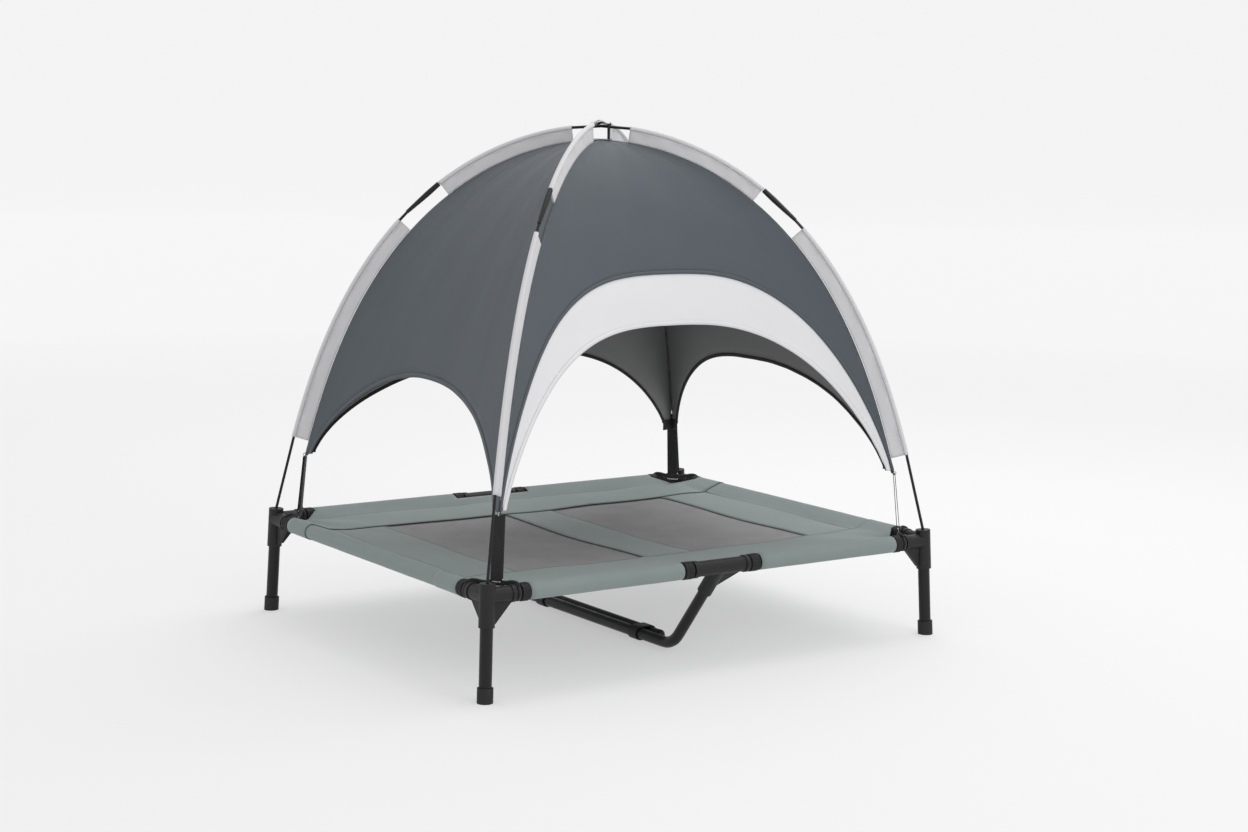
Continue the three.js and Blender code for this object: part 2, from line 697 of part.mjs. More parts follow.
// The pale band between the doorway edge and the front panel, sewn on below the panel's edge.
function doorwayBand(columns, rows) {
  const { surface, edge } = canopySide('front');
  return sheet(columns, rows, PANEL_THICK, (u, v) => {
    const position = spread(u);
    const high = edge(ARCHES.band, position * ARCHES.band.end);
    const low = edge(ARCHES.doorway, position * ARCHES.doorway.end);
    const share = THREE.MathUtils.lerp(low.share, high.share - 2 * SEAM_GAP * position, v);
    const fraction = THREE.MathUtils.lerp(low.fraction, high.fraction + SEAM_GAP, v);
    return surface(share, fraction);
  });
}

addPart('canopy_front', canopyPanel('front', ARCHES.band, PANEL_COLUMNS, 6), CANOPY_FABRIC);
addPart('canopy_back', canopyPanel('back', ARCHES.back, PANEL_COLUMNS, 6), CANOPY_FABRIC);
addPart('canopy_left', canopyPanel('left', ARCHES.short, PANEL_COLUMNS, 6), CANOPY_FABRIC);
addPart('canopy_right', canopyPanel('right', ARCHES.short, PANEL_COLUMNS, 6), CANOPY_FABRIC);
addPart('doorway_band', doorwayBand(PANEL_COLUMNS - 2, 2), BAND_FABRIC);

// ---------------------------------------------------------------- poles and fins
const FIN_LOW = [seamFractionAtHeight(312), poleFractionAtRadius(354)];
const FIN_HIGH = [poleFractionAtRadius(283), poleFractionAtRadius(51)];
const FERRULE = [poleFractionAtRadius(338), poleFractionAtRadius(284.5)];

// The pole over the front right and back left posts passes under the other one.
const POLES = [
  { name: 'a', ends: [CORNERS[0], CORNERS[3]], lift: POLE_CROSSING },
  { name: 'b', ends: [CORNERS[1], CORNERS[2]], lift: -POLE_CROSSING },
];

// Frame on a pole, measured from the crown towards one post.
function poleFrame(corner, lift, fraction) {
  const outward = new THREE.Vector3(corner.x * LENGTH, corner.y * WIDTH, 0).normalize();
  const { r, z, angle } = poleAt(fraction);
  const raised = z + lift * (z - POST_TOP) / POLE_RISE;
  const origin = outward.clone().multiplyScalar(r).setZ(raised);
  const inward = outward.clone().multiplyScalar(-Math.sin(angle)).addScaledVector(UP, -Math.cos(angle));
  return { origin, xAxis: inward, yAxis: outward.clone().cross(UP) };
}

function solidProfile(radius, heights) {
  const last = heights[heights.length - 1];
  return [[0, heights[0]], ...heights.map((height) => [radius, height]), [0, last]];
}

function fractions(from, to, steps) {
  return Array.from({ length: steps + 1 }, (unused, i) => THREE.MathUtils.lerp(from, to, i / steps));
}

const POLE_SIDES = 8;
const LOW_STEPS = 8;
const HIGH_STEPS = 5;

// Lower pole section: a peg in the post, the bent rod, and the joint sleeve at its upper end.
function lowerPole(corner, lift) {
  const frameAt = (fraction) => poleFrame(corner, lift, fraction);
  const heights = [FERRULE[0], ...fractions(FIN_LOW[1], FIN_LOW[0], LOW_STEPS), 1];
  const shaft = bend(turned(solidProfile(POLE_R, heights), POLE_SIDES), frameAt);
  const post = postPoint(corner, POST_TOP);
  const peg = rod(POLE_R, -POLE_PEG, 1.5, POLE_SIDES).translate(post.x, post.y, post.z);
  const foot = frameAt(FERRULE[0]).origin;
  const head = frameAt(FERRULE[1]).origin;
  const length = foot.distanceTo(head);
  const sleeveShape = turned([
    [0, -4], [3.2, -4], [3.4, 0], [FERRULE_R * 0.85, length * 0.3], [FERRULE_R, length * 0.65],
    [FERRULE_R * 0.9, length], [0, length],
  ], POLE_SIDES);
  return join([shaft, peg, along(sleeveShape, foot, head.clone().sub(foot))]);
}

function upperPole(pole) {
  const [first, last] = pole.ends;
  const reach = FERRULE[1] - 0.0012;
  const rise = [reach, ...fractions(FIN_HIGH[0], FIN_HIGH[1], HIGH_STEPS)];
  const heights = [...rise.map((fraction) => -fraction), 0, ...rise.reverse()];
  return bend(turned(solidProfile(POLE_R, heights), POLE_SIDES), (fraction) => {
    if (fraction < 0) {
      return poleFrame(first, pole.lift, -fraction);
    }
    const frame = poleFrame(last, pole.lift, fraction);
    frame.yAxis.negate();
    return frame;
  });
}

// Fabric fin: a tunnel round the pole and a flat web down to the ridge seam, whose inner edge
// keeps to the seam although one pole passes over the other.
function fin(corner, lift, [from, to], steps) {
  const half = FIN_THICK / 2;
  const tunnel = POLE_R + 1.4;
  const lip = Math.asin(half / tunnel);
  const shape = new THREE.Shape();
  shape.moveTo(FIN_WIDTH - FIN_EDGE, -half);
  shape.lineTo(FIN_WIDTH - FIN_EDGE, half);
  shape.absarc(0, 0, tunnel, lip, 2 * Math.PI - lip, false);
  shape.holes.push(roundHole(POLE_R + 0.6, POLE_SIDES));
  const body = new THREE.ExtrudeGeometry(shape, {
    depth: 1, steps, bevelEnabled: false, curveSegments: 3,
  });
  const fractionAt = (height) => THREE.MathUtils.lerp(from, to, height);
  const position = body.getAttribute('position');
  for (let i = 0; i < position.count; i += 1) {
    if (position.getX(i) > tunnel) {
      const raised = lift * (poleAt(fractionAt(position.getZ(i))).z - POST_TOP) / POLE_RISE;
      position.setX(i, position.getX(i) + raised);
    }
  }
  return bend(body, (height) => poleFrame(corner, lift, fractionAt(height)));
}

for (const pole of POLES) {
  for (const corner of pole.ends) {
    addPart(`pole_lower_${corner.name}`, lowerPole(corner, pole.lift), FIBREGLASS);
    addPart(`fin_lower_${corner.name}`, fin(corner, pole.lift, FIN_LOW, LOW_STEPS), FIN_FABRIC);
    addPart(`fin_upper_${corner.name}`, fin(corner, pole.lift, FIN_HIGH, HIGH_STEPS), FIN_FABRIC);
  }
  addPart(`pole_upper_${pole.name}`, upperPole(pole), FIBREGLASS);
}

// ---------------------------------------------------------------- crown
// A tie round the lower of the two poles, sewn to a patch on top of the fabric.
function crownTie() {
  const patchZ = SEAM_TOP + 1.6;
  const patch = new THREE.BoxGeometry(32, 32, 1).translate(0, 0, patchZ);
  const direction = new THREE.Vector3(LENGTH, -WIDTH, 0).normalize();
  const poleZ = CROWN_Z - POLE_CROSSING;
  const top = poleZ + POLE_R + 1.5;
  const bottom = patchZ - 0.4;
  const outline = (shape, half, low, high) => {
    shape.moveTo(-half, low);
    shape.lineTo(half, low);
    shape.absarc(0, high - half, half, 0, Math.PI, false);
    return shape;
  };
  const loop = outline(new THREE.Shape(), 4.2, bottom, top);
  loop.holes.push(outline(new THREE.Path(), 3, bottom + 1.2, top - 1.1));
  const band = new THREE.ExtrudeGeometry(loop, { depth: 5, bevelEnabled: false, curveSegments: 3 });
  band.translate(0, 0, 8.5);
  const across = UP.clone().cross(direction);
  band.applyMatrix4(new THREE.Matrix4().makeBasis(across, UP, across.clone().cross(UP)));
  return join([patch, band]);
}

const capProfile = [[0, 0], [15, 0], [17, 1.2], [14, 3.4], [8, 5], [0, 5.6]];
const capBase = CROWN_Z + POLE_CROSSING + POLE_R + GAP;
addPart('crown_tie', crownTie(), WEBBING);
addPart('crown_cap', turned(capProfile, ARM_SIDES).translate(0, 0, capBase), FIN_FABRIC);

// ---------------------------------------------------------------- tie-down straps
const RING_Z = TAIL_Z - 4.3;
const RING_R = 3.2;
const RING_WIRE = 0.8;

function ridgeDirections(corner) {
  const outward = new THREE.Vector3(corner.x * LENGTH, corner.y * WIDTH, 0).normalize();
  return { outward, tangent: outward.clone().cross(UP) };
}

function strapRing(corner) {
  const { outward, tangent } = ridgeDirections(corner);
  const ring = new THREE.TorusGeometry(RING_R, RING_WIRE, 8, 20);
  const centre = outward.clone().multiplyScalar(seamAt(seamFractionAtHeight(TAIL_Z)).r).setZ(RING_Z);
  const basis = new THREE.Matrix4().makeBasis(outward, UP, tangent);
  return ring.applyMatrix4(basis.setPosition(centre));
}

// Webbing strap ending in a hook that opens downward over the corner band.
function strap(corner) {
  const { outward, tangent } = ridgeDirections(corner);
  const { middle } = bandPoints(corner);
  const hookTop = middle.z + 3.6;
  const basis = new THREE.Matrix4().makeBasis(tangent, outward, UP);
  const block = (wide, deep, low, high) => (
    new THREE.BoxGeometry(wide, deep, high - low).translate(0, 0, (low + high) / 2)
      .applyMatrix4(basis.clone().setPosition(middle.x, middle.y, 0))
  );
  const hook = block(23, 10.4, middle.z - 3, hookTop);
  const slot = block(30, 6.8, middle.z - 6, middle.z + 1.1);
  const ringFoot = RING_Z - RING_R - RING_WIRE - 0.4;
  const ringAt = outward.clone().multiplyScalar(seamAt(seamFractionAtHeight(TAIL_Z)).r).setZ(ringFoot);
  const strapFoot = middle.clone().setZ(hookTop - 0.8);
  const length = strapFoot.distanceTo(ringAt);
  const webbing = new THREE.BoxGeometry(20, 1.6, length).translate(0, 0, length / 2);
  const rise = ringAt.clone().sub(strapFoot).normalize();
  const face = tangent.clone().cross(rise).negate();
  webbing.applyMatrix4(new THREE.Matrix4().makeBasis(tangent, face, rise).setPosition(strapFoot));
  return cut(join([hook, webbing]), [slot]);
}

for (const corner of CORNERS) {
  addPart(`strap_ring_${corner.name}`, strapRing(corner), RING_METAL);
  addPart(`tie_strap_${corner.name}`, strap(corner), WEBBING);
}

export default object;
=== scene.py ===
"""Looks for the raised dog bed with a canopy: fabrics, webbing, trims and materials on the CAD frame."""

import math

import bpy
import numpy as np
from mathutils import Matrix, Vector


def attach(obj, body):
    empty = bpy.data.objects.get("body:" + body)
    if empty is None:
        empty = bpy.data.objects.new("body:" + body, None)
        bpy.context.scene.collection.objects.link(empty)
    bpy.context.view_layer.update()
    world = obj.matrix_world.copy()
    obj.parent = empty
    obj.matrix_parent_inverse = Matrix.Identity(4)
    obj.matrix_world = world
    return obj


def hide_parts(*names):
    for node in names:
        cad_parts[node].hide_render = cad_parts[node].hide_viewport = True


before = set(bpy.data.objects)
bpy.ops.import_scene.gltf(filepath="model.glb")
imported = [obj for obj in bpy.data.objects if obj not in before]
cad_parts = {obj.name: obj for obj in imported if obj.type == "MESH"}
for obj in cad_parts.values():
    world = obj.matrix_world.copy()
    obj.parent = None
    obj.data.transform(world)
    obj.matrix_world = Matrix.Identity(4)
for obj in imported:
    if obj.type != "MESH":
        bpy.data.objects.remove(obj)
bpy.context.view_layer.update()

# ---- sizes, in metres
LENGTH, WIDTH = 0.890, 0.738
POST_TOP, RAIL_Z, SPLAY = 0.187, 0.167, 0.0074
RAIL_X = LENGTH / 2 + SPLAY * (1 - RAIL_Z / POST_TOP)
RAIL_Y = WIDTH / 2 + SPLAY * (1 - RAIL_Z / POST_TOP)
DIAGONAL = math.hypot(LENGTH, WIDTH) / 2
FIN_WIDTH = 0.027
POLE_R = 0.0025
# Half the distance between the two poles' axes where they cross.
POLE_CROSSING = 0.0029
# Bottom of the canopy's tails, and how much lower their tips hang at the ridge.
TAIL_Z, TAIL_DROP = 0.290, 0.0034
# Uneven cut of the left and back doorways, and of the left doorway's flatter half.
LEFT_SKEW, BACK_SKEW, LEFT_SLACK = 0.09, 0.25, 0.68

# ---- pole and seam curves
STEPS = 400
BASE_ANGLE = math.radians(76.6)
ANGLES = np.array([BASE_ANGLE * math.sin(math.pi * i / (2 * STEPS)) ** 0.926 for i in range(STEPS + 1)])
MIDDLE = (ANGLES[1:] + ANGLES[:-1]) / 2
RUN = np.concatenate(([0.0], np.cumsum(np.cos(MIDDLE)))) / STEPS
DROP = np.concatenate(([0.0], np.cumsum(np.sin(MIDDLE)))) / STEPS
POLE_LENGTH = DIAGONAL / RUN[-1]
POLE_RISE = POLE_LENGTH * DROP[-1]
CROWN_Z = POST_TOP + POLE_RISE
FRACTIONS = np.linspace(0, 1, STEPS + 1)
SEAM_R = POLE_LENGTH * RUN - FIN_WIDTH * np.sin(ANGLES)
SEAM_Z = CROWN_Z - POLE_LENGTH * DROP - FIN_WIDTH * np.cos(ANGLES)
SEAM_TOP = SEAM_Z[0]


def pole_at(f):
    return (
        POLE_LENGTH * np.interp(f, FRACTIONS, RUN),
        CROWN_Z - POLE_LENGTH * np.interp(f, FRACTIONS, DROP),
        np.interp(f, FRACTIONS, ANGLES),
    )


def seam_at(f):
    return np.interp(f, FRACTIONS, SEAM_R), np.interp(f, FRACTIONS, SEAM_Z), np.interp(f, FRACTIONS, ANGLES)


def seam_fraction(height):
    return np.interp(-np.asarray(height, float), -SEAM_Z, FRACTIONS)


def pole_fraction(radius):
    return float(np.interp(radius, POLE_LENGTH * RUN, FRACTIONS))


TAIL_R = float(seam_at(seam_fraction(TAIL_Z))[0])

CORNERS = {"front_left": (-1, -1), "front_right": (1, -1), "back_left": (-1, 1), "back_right": (1, 1)}
LIFTS = {name: POLE_CROSSING * x * y for name, (x, y) in CORNERS.items()}


def corner_directions(corner):
    x, y = CORNERS[corner]
    outward = np.array([x * LENGTH, y * WIDTH, 0.0]) / math.hypot(LENGTH, WIDTH)
    return outward, np.array([outward[1], -outward[0], 0.0])


UP = np.array([0.0, 0.0, 1.0])


def add_object(name, data):
    made = bpy.data.objects.new(name, data)
    bpy.context.scene.collection.objects.link(made)
    return made


# ---- the camera
YAW, PITCH, ROLL = -0.60077, 0.14106, 0.01588
CAMERA_PLACE = (-2.2547, -3.3749, 0.9481)
SENSOR_WIDTH, FOCAL_LENGTH = 36, 66.90577
gaze = Vector((-math.sin(YAW) * math.cos(PITCH), math.cos(YAW) * math.cos(PITCH), -math.sin(PITCH)))
side = gaze.cross(Vector((0, 0, 1))).normalized()
top = side.cross(gaze)
right = math.cos(ROLL) * side + math.sin(ROLL) * top
above = -math.sin(ROLL) * side + math.cos(ROLL) * top
lens = bpy.data.cameras.new("camera")
lens.lens = FOCAL_LENGTH
lens.sensor_width = SENSOR_WIDTH
camera = add_object("camera", lens)
camera.matrix_world = Matrix(
    [(right[k], above[k], -gaze[k], CAMERA_PLACE[k]) for k in range(3)] + [(0, 0, 0, 1)]
)
bpy.context.scene.camera = camera


# ---- materials
def srgb(r, g, b):
    return tuple(((c / 255 + 0.055) / 1.055) ** 2.4 if c > 10 else c / 255 / 12.92 for c in (r, g, b))


class Look:
    """A Principled material that is wired with short calls."""

    def __init__(self, name, colour, roughness, metallic=0.0, specular=0.5):
        self.material = bpy.data.materials.new(name)
        self.material.use_nodes = True
        self.tree = self.material.node_tree
        self.shader = self.tree.nodes["Principled BSDF"]
        self.colour = colour
        self.space = self.node("ShaderNodeTexCoord").outputs["Object"]
        self.set("Base Color", (*colour, 1))
        self.set("Roughness", roughness)
        self.set("Metallic", metallic)
        self.set("Specular IOR Level", specular)

    def set(self, socket, value):
        self.shader.inputs[socket].default_value = value

    def node(self, kind, settings=None, **inputs):
        made = self.tree.nodes.new(kind)
        for key, value in (settings or {}).items():
            setattr(made, key, value)
        for key, value in inputs.items():
            place = made.inputs[int(key[1:])] if key[0] == "_" else made.inputs[key.replace("_", " ")]
            if isinstance(value, bpy.types.NodeSocket):
                self.tree.links.new(value, place)
            else:
                place.default_value = value
        return made

    def cloth_space(self):
        return self.node("ShaderNodeAttribute", {"attribute_name": "cloth"}).outputs["Vector"]

    def noise(self, scale, detail=2.0, roughness=0.5, vector=None):
        settings = {"Vector": vector or self.space, "Scale": scale, "Detail": detail, "Roughness": roughness}
        return self.node("ShaderNodeTexNoise", **settings).outputs["Fac"]

    def wave(self, vector, period, direction, distortion=0.0):
        made = self.node(
            "ShaderNodeTexWave",
            {"wave_type": "BANDS", "bands_direction": direction, "wave_profile": "SIN"},
            Vector=vector, Scale=math.pi / 10 / period, Distortion=distortion,
        )
        return made.outputs["Fac"]

    def math(self, operation, a, b):
        return self.node("ShaderNodeMath", {"operation": operation}, _0=a, _1=b).outputs[0]

    def between(self, value, low, high, source=(0.0, 1.0)):
        made = self.node(
            "ShaderNodeMapRange", Value=value, From_Min=source[0], From_Max=source[1], To_Min=low, To_Max=high
        )
        return made.outputs[0]

    def centred(self, noise, low=0.0, high=1.0):
        return self.between(noise, low, high, (0.3, 0.7))

    def mix(self, factor, a, b):
        a, b = ((*value, 1) if isinstance(value, tuple) else value for value in (a, b))
        return self.node("ShaderNodeMix", {"data_type": "RGBA"}, Factor=factor, _6=a, _7=b).outputs[2]

    def shaded(self, factor, low, high):
        return self.mix(factor, tuple(c * low for c in self.colour), tuple(c * high for c in self.colour))

    def link(self, value, socket):
        self.tree.links.new(value, self.shader.inputs[socket])

    def bump(self, height, distance, strength=1.0, base=None):
        extra = {} if base is None else {"Normal": base}
        made = self.node("ShaderNodeBump", Strength=strength, Distance=distance, Height=height, **extra)
        return made.outputs["Normal"]


def woven(
    name, colour, period, roughness=0.8, relief=0.0002, mottle=(0.94, 1.06), weave_shade=0.1, sheen=0.15
):
    """Plain weave in cloth space, with slow colour variation and small slubs."""
    look = Look(name, colour, roughness, specular=0.3)
    cloth = look.cloth_space()
    warp = look.wave(cloth, period, "X", 0.4)
    weft = look.wave(cloth, period * 1.1, "Y", 0.4)
    weave = look.math("MULTIPLY", warp, weft)
    slow = look.noise(9.0, 4.0, 0.6)
    slub = look.noise(260.0, 3.0, 0.65)
    tone = look.shaded(look.centred(slow), *mottle)
    fine = look.math("ADD", look.math("MULTIPLY", weave, 0.7), look.math("MULTIPLY", slub, 0.5))
    dark = tuple(c * (1 - 2 * weave_shade) for c in colour)
    lit = look.mix(look.between(fine, 0.0, 0.8, (0.0, 1.0)), dark, tone)
    look.link(look.mix(0.75, tone, lit), "Base Color")
    look.link(look.centred(slub, roughness - 0.08, roughness + 0.08), "Roughness")
    creases = look.bump(look.noise(22.0, 3.0, 0.55), 0.0015, 0.25)
    look.link(look.bump(fine, relief, 0.7, creases), "Normal")
    look.set("Sheen Weight", sheen)
    look.set("Sheen Roughness", 0.5)
    return look.material


def netting(name, colour, pitch):
    """Knitted net: diagonal threads round small openings, painted dark as the shade seen through them."""
    look = Look(name, colour, 0.85, specular=0.2)
    cloth = look.cloth_space()
    turned = look.node(
        "ShaderNodeMapping", {"vector_type": "POINT"}, Vector=cloth, Rotation=(0, 0, math.radians(45))
    ).outputs[0]
    threads = look.math("MAXIMUM", look.wave(turned, pitch, "X", 0.3), look.wave(turned, pitch, "Y", 0.3))
    open_part = look.between(threads, 0.0, 1.0, (0.35, 0.8))
    slow = look.noise(14.0, 3.0, 0.6)
    tone = look.shaded(look.centred(slow), 1.04, 1.22)
    # The openings get 0.42 of the thread colour: painted shade, where the shaded space under the net shows
    # through.
    look.link(look.mix(open_part, tuple(c * 0.42 for c in colour), tone), "Base Color")
    look.link(look.bump(threads, 0.0004, 0.8), "Normal")
    return look.material


def webbing(name, colour, period=0.0014):
    """Heavy ribbed webbing with a herringbone of fine ribs along its length."""
    look = Look(name, colour, 0.7, specular=0.35)
    cloth = look.cloth_space()
    ribs = look.wave(cloth, period, "Y", 0.2)
    cross = look.wave(cloth, period * 2.2, "DIAGONAL", 0.5)
    weave = look.math("ADD", look.math("MULTIPLY", ribs, 0.7), look.math("MULTIPLY", cross, 0.4))
    look.link(look.shaded(weave, 0.6, 1.7), "Base Color")
    look.link(look.centred(look.noise(300.0), 0.55, 0.85), "Roughness")
    look.link(look.bump(weave, 0.0003, 0.8), "Normal")
    look.set("Sheen Weight", 0.1)
    return look.material


def moulded(name, colour, roughness=0.5, grain=900.0, relief=0.00012, scuff=0.12):
    """Moulded plastic with a spark-eroded grain, faint flow marks and scuffs."""
    look = Look(name, colour, roughness, specular=0.3)
    fine = look.noise(grain, 2.0, 0.6)
    slow = look.noise(28.0, 4.0, 0.6)
    wear = look.between(look.noise(75.0, 5.0, 0.75), 0, 1, (0.55, 0.75))
    tone = look.shaded(look.centred(slow), 0.85, 1.15)
    look.link(look.mix(look.math("MULTIPLY", wear, scuff), tone, (0.10, 0.10, 0.105)), "Base Color")
    look.link(look.centred(slow, roughness - 0.09, roughness + 0.09), "Roughness")
    look.link(look.bump(fine, relief, 0.6, look.bump(slow, 0.0006, 0.2)), "Normal")
    return look.material


def coated(name, colour, roughness=0.4):
    """Powder-coated tube: orange-peel texture under a soft gloss, with faint rubbed marks."""
    look = Look(name, colour, roughness, specular=0.33)
    peel = look.noise(420.0, 2.0, 0.5)
    slow = look.noise(16.0, 3.0, 0.6)
    stretched = look.node("ShaderNodeMapping", Vector=look.space, Scale=(1, 1, 0.25)).outputs[0]
    rub = look.between(look.noise(120.0, 5.0, 0.7, stretched), 0, 1, (0.58, 0.72))
    rubbed = look.math("MULTIPLY", rub, 0.08)
    look.link(look.mix(rubbed, look.shaded(slow, 0.8, 1.2), (0.06, 0.06, 0.06)), "Base Color")
    look.link(look.centred(slow, roughness - 0.07, roughness + 0.09), "Roughness")
    look.link(look.bump(peel, 0.00008, 0.6), "Normal")
    return look.material


def wire(name):
    look = Look(name, srgb(205, 206, 210), 0.24, metallic=1.0)
    slow = look.noise(220.0, 4.0, 0.6)
    look.link(look.shaded(slow, 0.8, 1.05), "Base Color")
    look.link(look.centred(slow, 0.16, 0.36), "Roughness")
    look.link(look.bump(look.noise(900.0), 0.00004, 0.5), "Normal")
    return look.material


CANOPY = woven("canopy_polyester", srgb(81, 88, 94), 0.0010, 0.72, 0.00012, (0.96, 1.05), 0.05)
# The canopy's inside face is a lighter grey copy of its cloth: painted light, standing in for light that
# shines through the thin fabric.
CANOPY_INSIDE_LIT = woven("canopy_lining", srgb(136, 136, 136), 0.0010, 0.8, 0.00012, (0.95, 1.05), 0.05, 0.05)
PALE = woven("pale_polyester", srgb(226, 226, 228), 0.0010, 0.75, 0.00012, (0.97, 1.03), 0.03)
FIN = woven("fin_polyester", srgb(212, 211, 214), 0.0010, 0.75, 0.00015, (0.95, 1.04), 0.04)
OXFORD = woven("oxford_fabric", srgb(137, 149, 147), 0.0016, 0.82, 0.0003, (0.92, 1.06), 0.12)
# The strips' rims are coloured dark grey, which draws a dark line along the edges of the raised strips.
OXFORD_DARK_RIM = woven("oxford_cut_edge", srgb(64, 68, 67), 0.0012, 0.9, 0.0002)
NET = netting("knitted_net", srgb(156, 155, 156), 0.0024)
BINDING = webbing("binding_tape", srgb(34, 34, 36), 0.0009)
STRAP = webbing("strap_webbing", srgb(26, 26, 28))
THREAD = webbing("stitch_thread", srgb(84, 90, 88), 0.0005)
PALE_THREAD = webbing("pale_thread", srgb(176, 175, 178), 0.0005)
MOULDING = moulded("connector_moulding", srgb(31, 31, 33))
COLLAR = moulded("collar_moulding", srgb(30, 30, 32), 0.6, 700.0, 0.0002, 0.08)
RUBBER = moulded("foot_rubber", srgb(40, 40, 42), 0.72, 600.0, 0.0002, 0.2)
TUBE = coated("tube_coating", srgb(17, 17, 18))
ROD = coated("pole_fibreglass", srgb(20, 20, 22), 0.3)
METAL = wire("plated_wire")


# ---- mesh helpers
def triples(values):
    return np.asarray(values, float).reshape(-1, 3)


def mesh_object(name, points, faces, materials, cloth=None):
    """Smooth mesh that keeps only the points its faces use."""
    points = triples(points)
    used = sorted({i for face in faces for i in face})
    order = {old: new for new, old in enumerate(used)}
    mesh = bpy.data.meshes.new(name)
    mesh.from_pydata([tuple(points[i]) for i in used], [], [[order[i] for i in face] for face in faces])
    for item in materials:
        mesh.materials.append(item)
    mesh.polygons.foreach_set("use_smooth", np.ones(len(faces), bool))
    attribute = mesh.attributes.new("cloth", "FLOAT_VECTOR", "POINT")
    values = (points if cloth is None else triples(cloth))[used]
    attribute.data.foreach_set("vector", values.astype(np.float32).ravel())
    mesh.update()
    return add_object(name, mesh)


def grid_object(name, points, materials, cloth=None):
    """Open sheet through a grid of points."""
    cloth = developed(points) if cloth is None else cloth
    return mesh_object(name, points, grid_faces(*points.shape[:2]), materials, cloth)


def grid_faces(rows, columns, ring=False, closed=False):
    """Quads of a grid of points; a ring joins its last column to its first, a closed one its rows."""
    faces = []
    for i in range(rows if closed else rows - 1):
        row, below = i * columns, (i + 1) % rows * columns
        for j in range(columns if ring else columns - 1):
            k = (j + 1) % columns
            faces.append((row + j, row + k, below + k, below + j))
    return faces


def developed(points):
    """Cloth coordinates in metres along the rows and columns of a grid of points."""
    rows, columns = points.shape[:2]
    across = np.linalg.norm(np.diff(points, axis=1), axis=2)
    down = np.linalg.norm(np.diff(points, axis=0), axis=2)
    u = np.concatenate([np.zeros((rows, 1)), np.cumsum(across, axis=1)], axis=1)
    u = u - u[:, columns // 2][:, None]
    v = np.concatenate([np.zeros((1, columns)), np.cumsum(down, axis=0)], axis=0)
    return np.stack([u, v, np.zeros_like(u)], axis=2)


def thicken(made, thickness, offset=-1.0, inside=0, rim=0):
    extra = made.modifiers.new("thickness", "SOLIDIFY")
    extra.thickness = thickness
    extra.offset = offset
    extra.material_offset = inside
    extra.material_offset_rim = rim
    return made


class Shells:
    """Collects several closed shapes into one mesh."""

    def __init__(self):
        self.points, self.faces, self.cloth = [], [], []
        self.count = 0

    def add(self, points, faces, cloth):
        points = triples(points)
        self.points.append(points)
        self.cloth.append(triples(cloth))
        self.faces += [tuple(i + self.count for i in face) for face in faces]
        self.count += len(points)

    def sweep(self, path, across, half_width, half_thick, sides=10, closed=False, square=1.0):
        """An oval (or rounded flat) section swept along a path; across gives its wide direction."""
        path = np.asarray(path, float)
        n = len(path)
        ahead = np.roll(path, -1, axis=0) - np.roll(path, 1, axis=0)
        if not closed:
            ahead[0], ahead[-1] = path[1] - path[0], path[-1] - path[-2]
        ahead /= np.linalg.norm(ahead, axis=1)[:, None]
        wide = np.broadcast_to(np.asarray(across, float), path.shape)
        wide = wide - ahead * (wide * ahead).sum(1)[:, None]
        wide = wide / np.linalg.norm(wide, axis=1)[:, None]
        thin = np.cross(ahead, wide)
        sizes = (np.broadcast_to(np.asarray(half, float), (n,)) for half in (half_width, half_thick))
        half_width, half_thick = (size[:, None] for size in sizes)
        turn = 2 * math.pi * (np.arange(sides) + 0.5) / sides
        c = np.sign(np.cos(turn)) * np.abs(np.cos(turn)) ** square
        s = np.sign(np.sin(turn)) * np.abs(np.sin(turn)) ** square
        rings = (
            path[:, None, :]
            + wide[:, None, :] * (half_width * c)[:, :, None]
            + thin[:, None, :] * (half_thick * s)[:, :, None]
        )
        step = np.linalg.norm(np.diff(path, axis=0), axis=1)
        length = np.concatenate(([0.0], np.cumsum(step)))
        cloth = np.zeros((n, sides, 3))
        cloth[:, :, 0] = half_width * c
        cloth[:, :, 1] = length[:, None]
        faces = grid_faces(n, sides, True, closed)
        if not closed:
            faces.append(tuple(reversed(range(sides))))
            faces.append(tuple((n - 1) * sides + j for j in range(sides)))
        self.add(rings, faces, cloth)

    def turned(self, origin, axis, profile, sides, ripple):
        """Closed ring of revolution round an axis; profile is a closed loop of (radius, height)."""
        axis = np.asarray(axis, float)
        first = np.cross(axis, [0.31, 0.72, 0.55])
        first /= np.linalg.norm(first)
        second = np.cross(axis, first)
        turn = 2 * math.pi * np.arange(sides) / sides
        n = len(profile)
        rings = np.zeros((n, sides, 3))
        cloth = np.zeros((n, sides, 3))
        for i, (radius, height) in enumerate(profile):
            r = np.broadcast_to(radius + ripple(i, turn), turn.shape)
            rings[i] = (
                np.asarray(origin)
                + axis * height
                + first * (np.cos(turn) * r)[:, None]
                + second * (np.sin(turn) * r)[:, None]
            )
            cloth[i, :, 0] = turn * radius
            cloth[i, :, 1] = height
        self.add(rings, grid_faces(n, sides, True, True), cloth)

    def box(self, centre, along, across, size):
        """A small bar with its four long edges rounded off."""
        centre = np.asarray(centre, float)
        half = np.asarray(size, float) / 2
        path = [centre + along * half[0] * k for k in (-1, -0.8, 0.8, 1)]
        scale = np.array([0.55, 1.0, 1.0, 0.55])
        self.sweep(path, across, half[1] * scale, half[2] * scale, 6)

    def build(self, name, material):
        points, cloth = np.concatenate(self.points), np.concatenate(self.cloth)
        made = mesh_object(name, points, self.faces, [material], cloth)
        fix_normals(made)
        return made


def fix_normals(made):
    """Turns the faces of closed shells outward."""
    import bmesh

    work = bmesh.new()
    work.from_mesh(made.data)
    bmesh.ops.recalc_face_normals(work, faces=work.faces)
    work.to_mesh(made.data)
    work.free()


def arc(centre, first, second, radius, turns):
    """Points on a circle at the given angles from the first direction towards the second."""
    return [centre + first * (radius * math.cos(t)) + second * (radius * math.sin(t)) for t in turns]


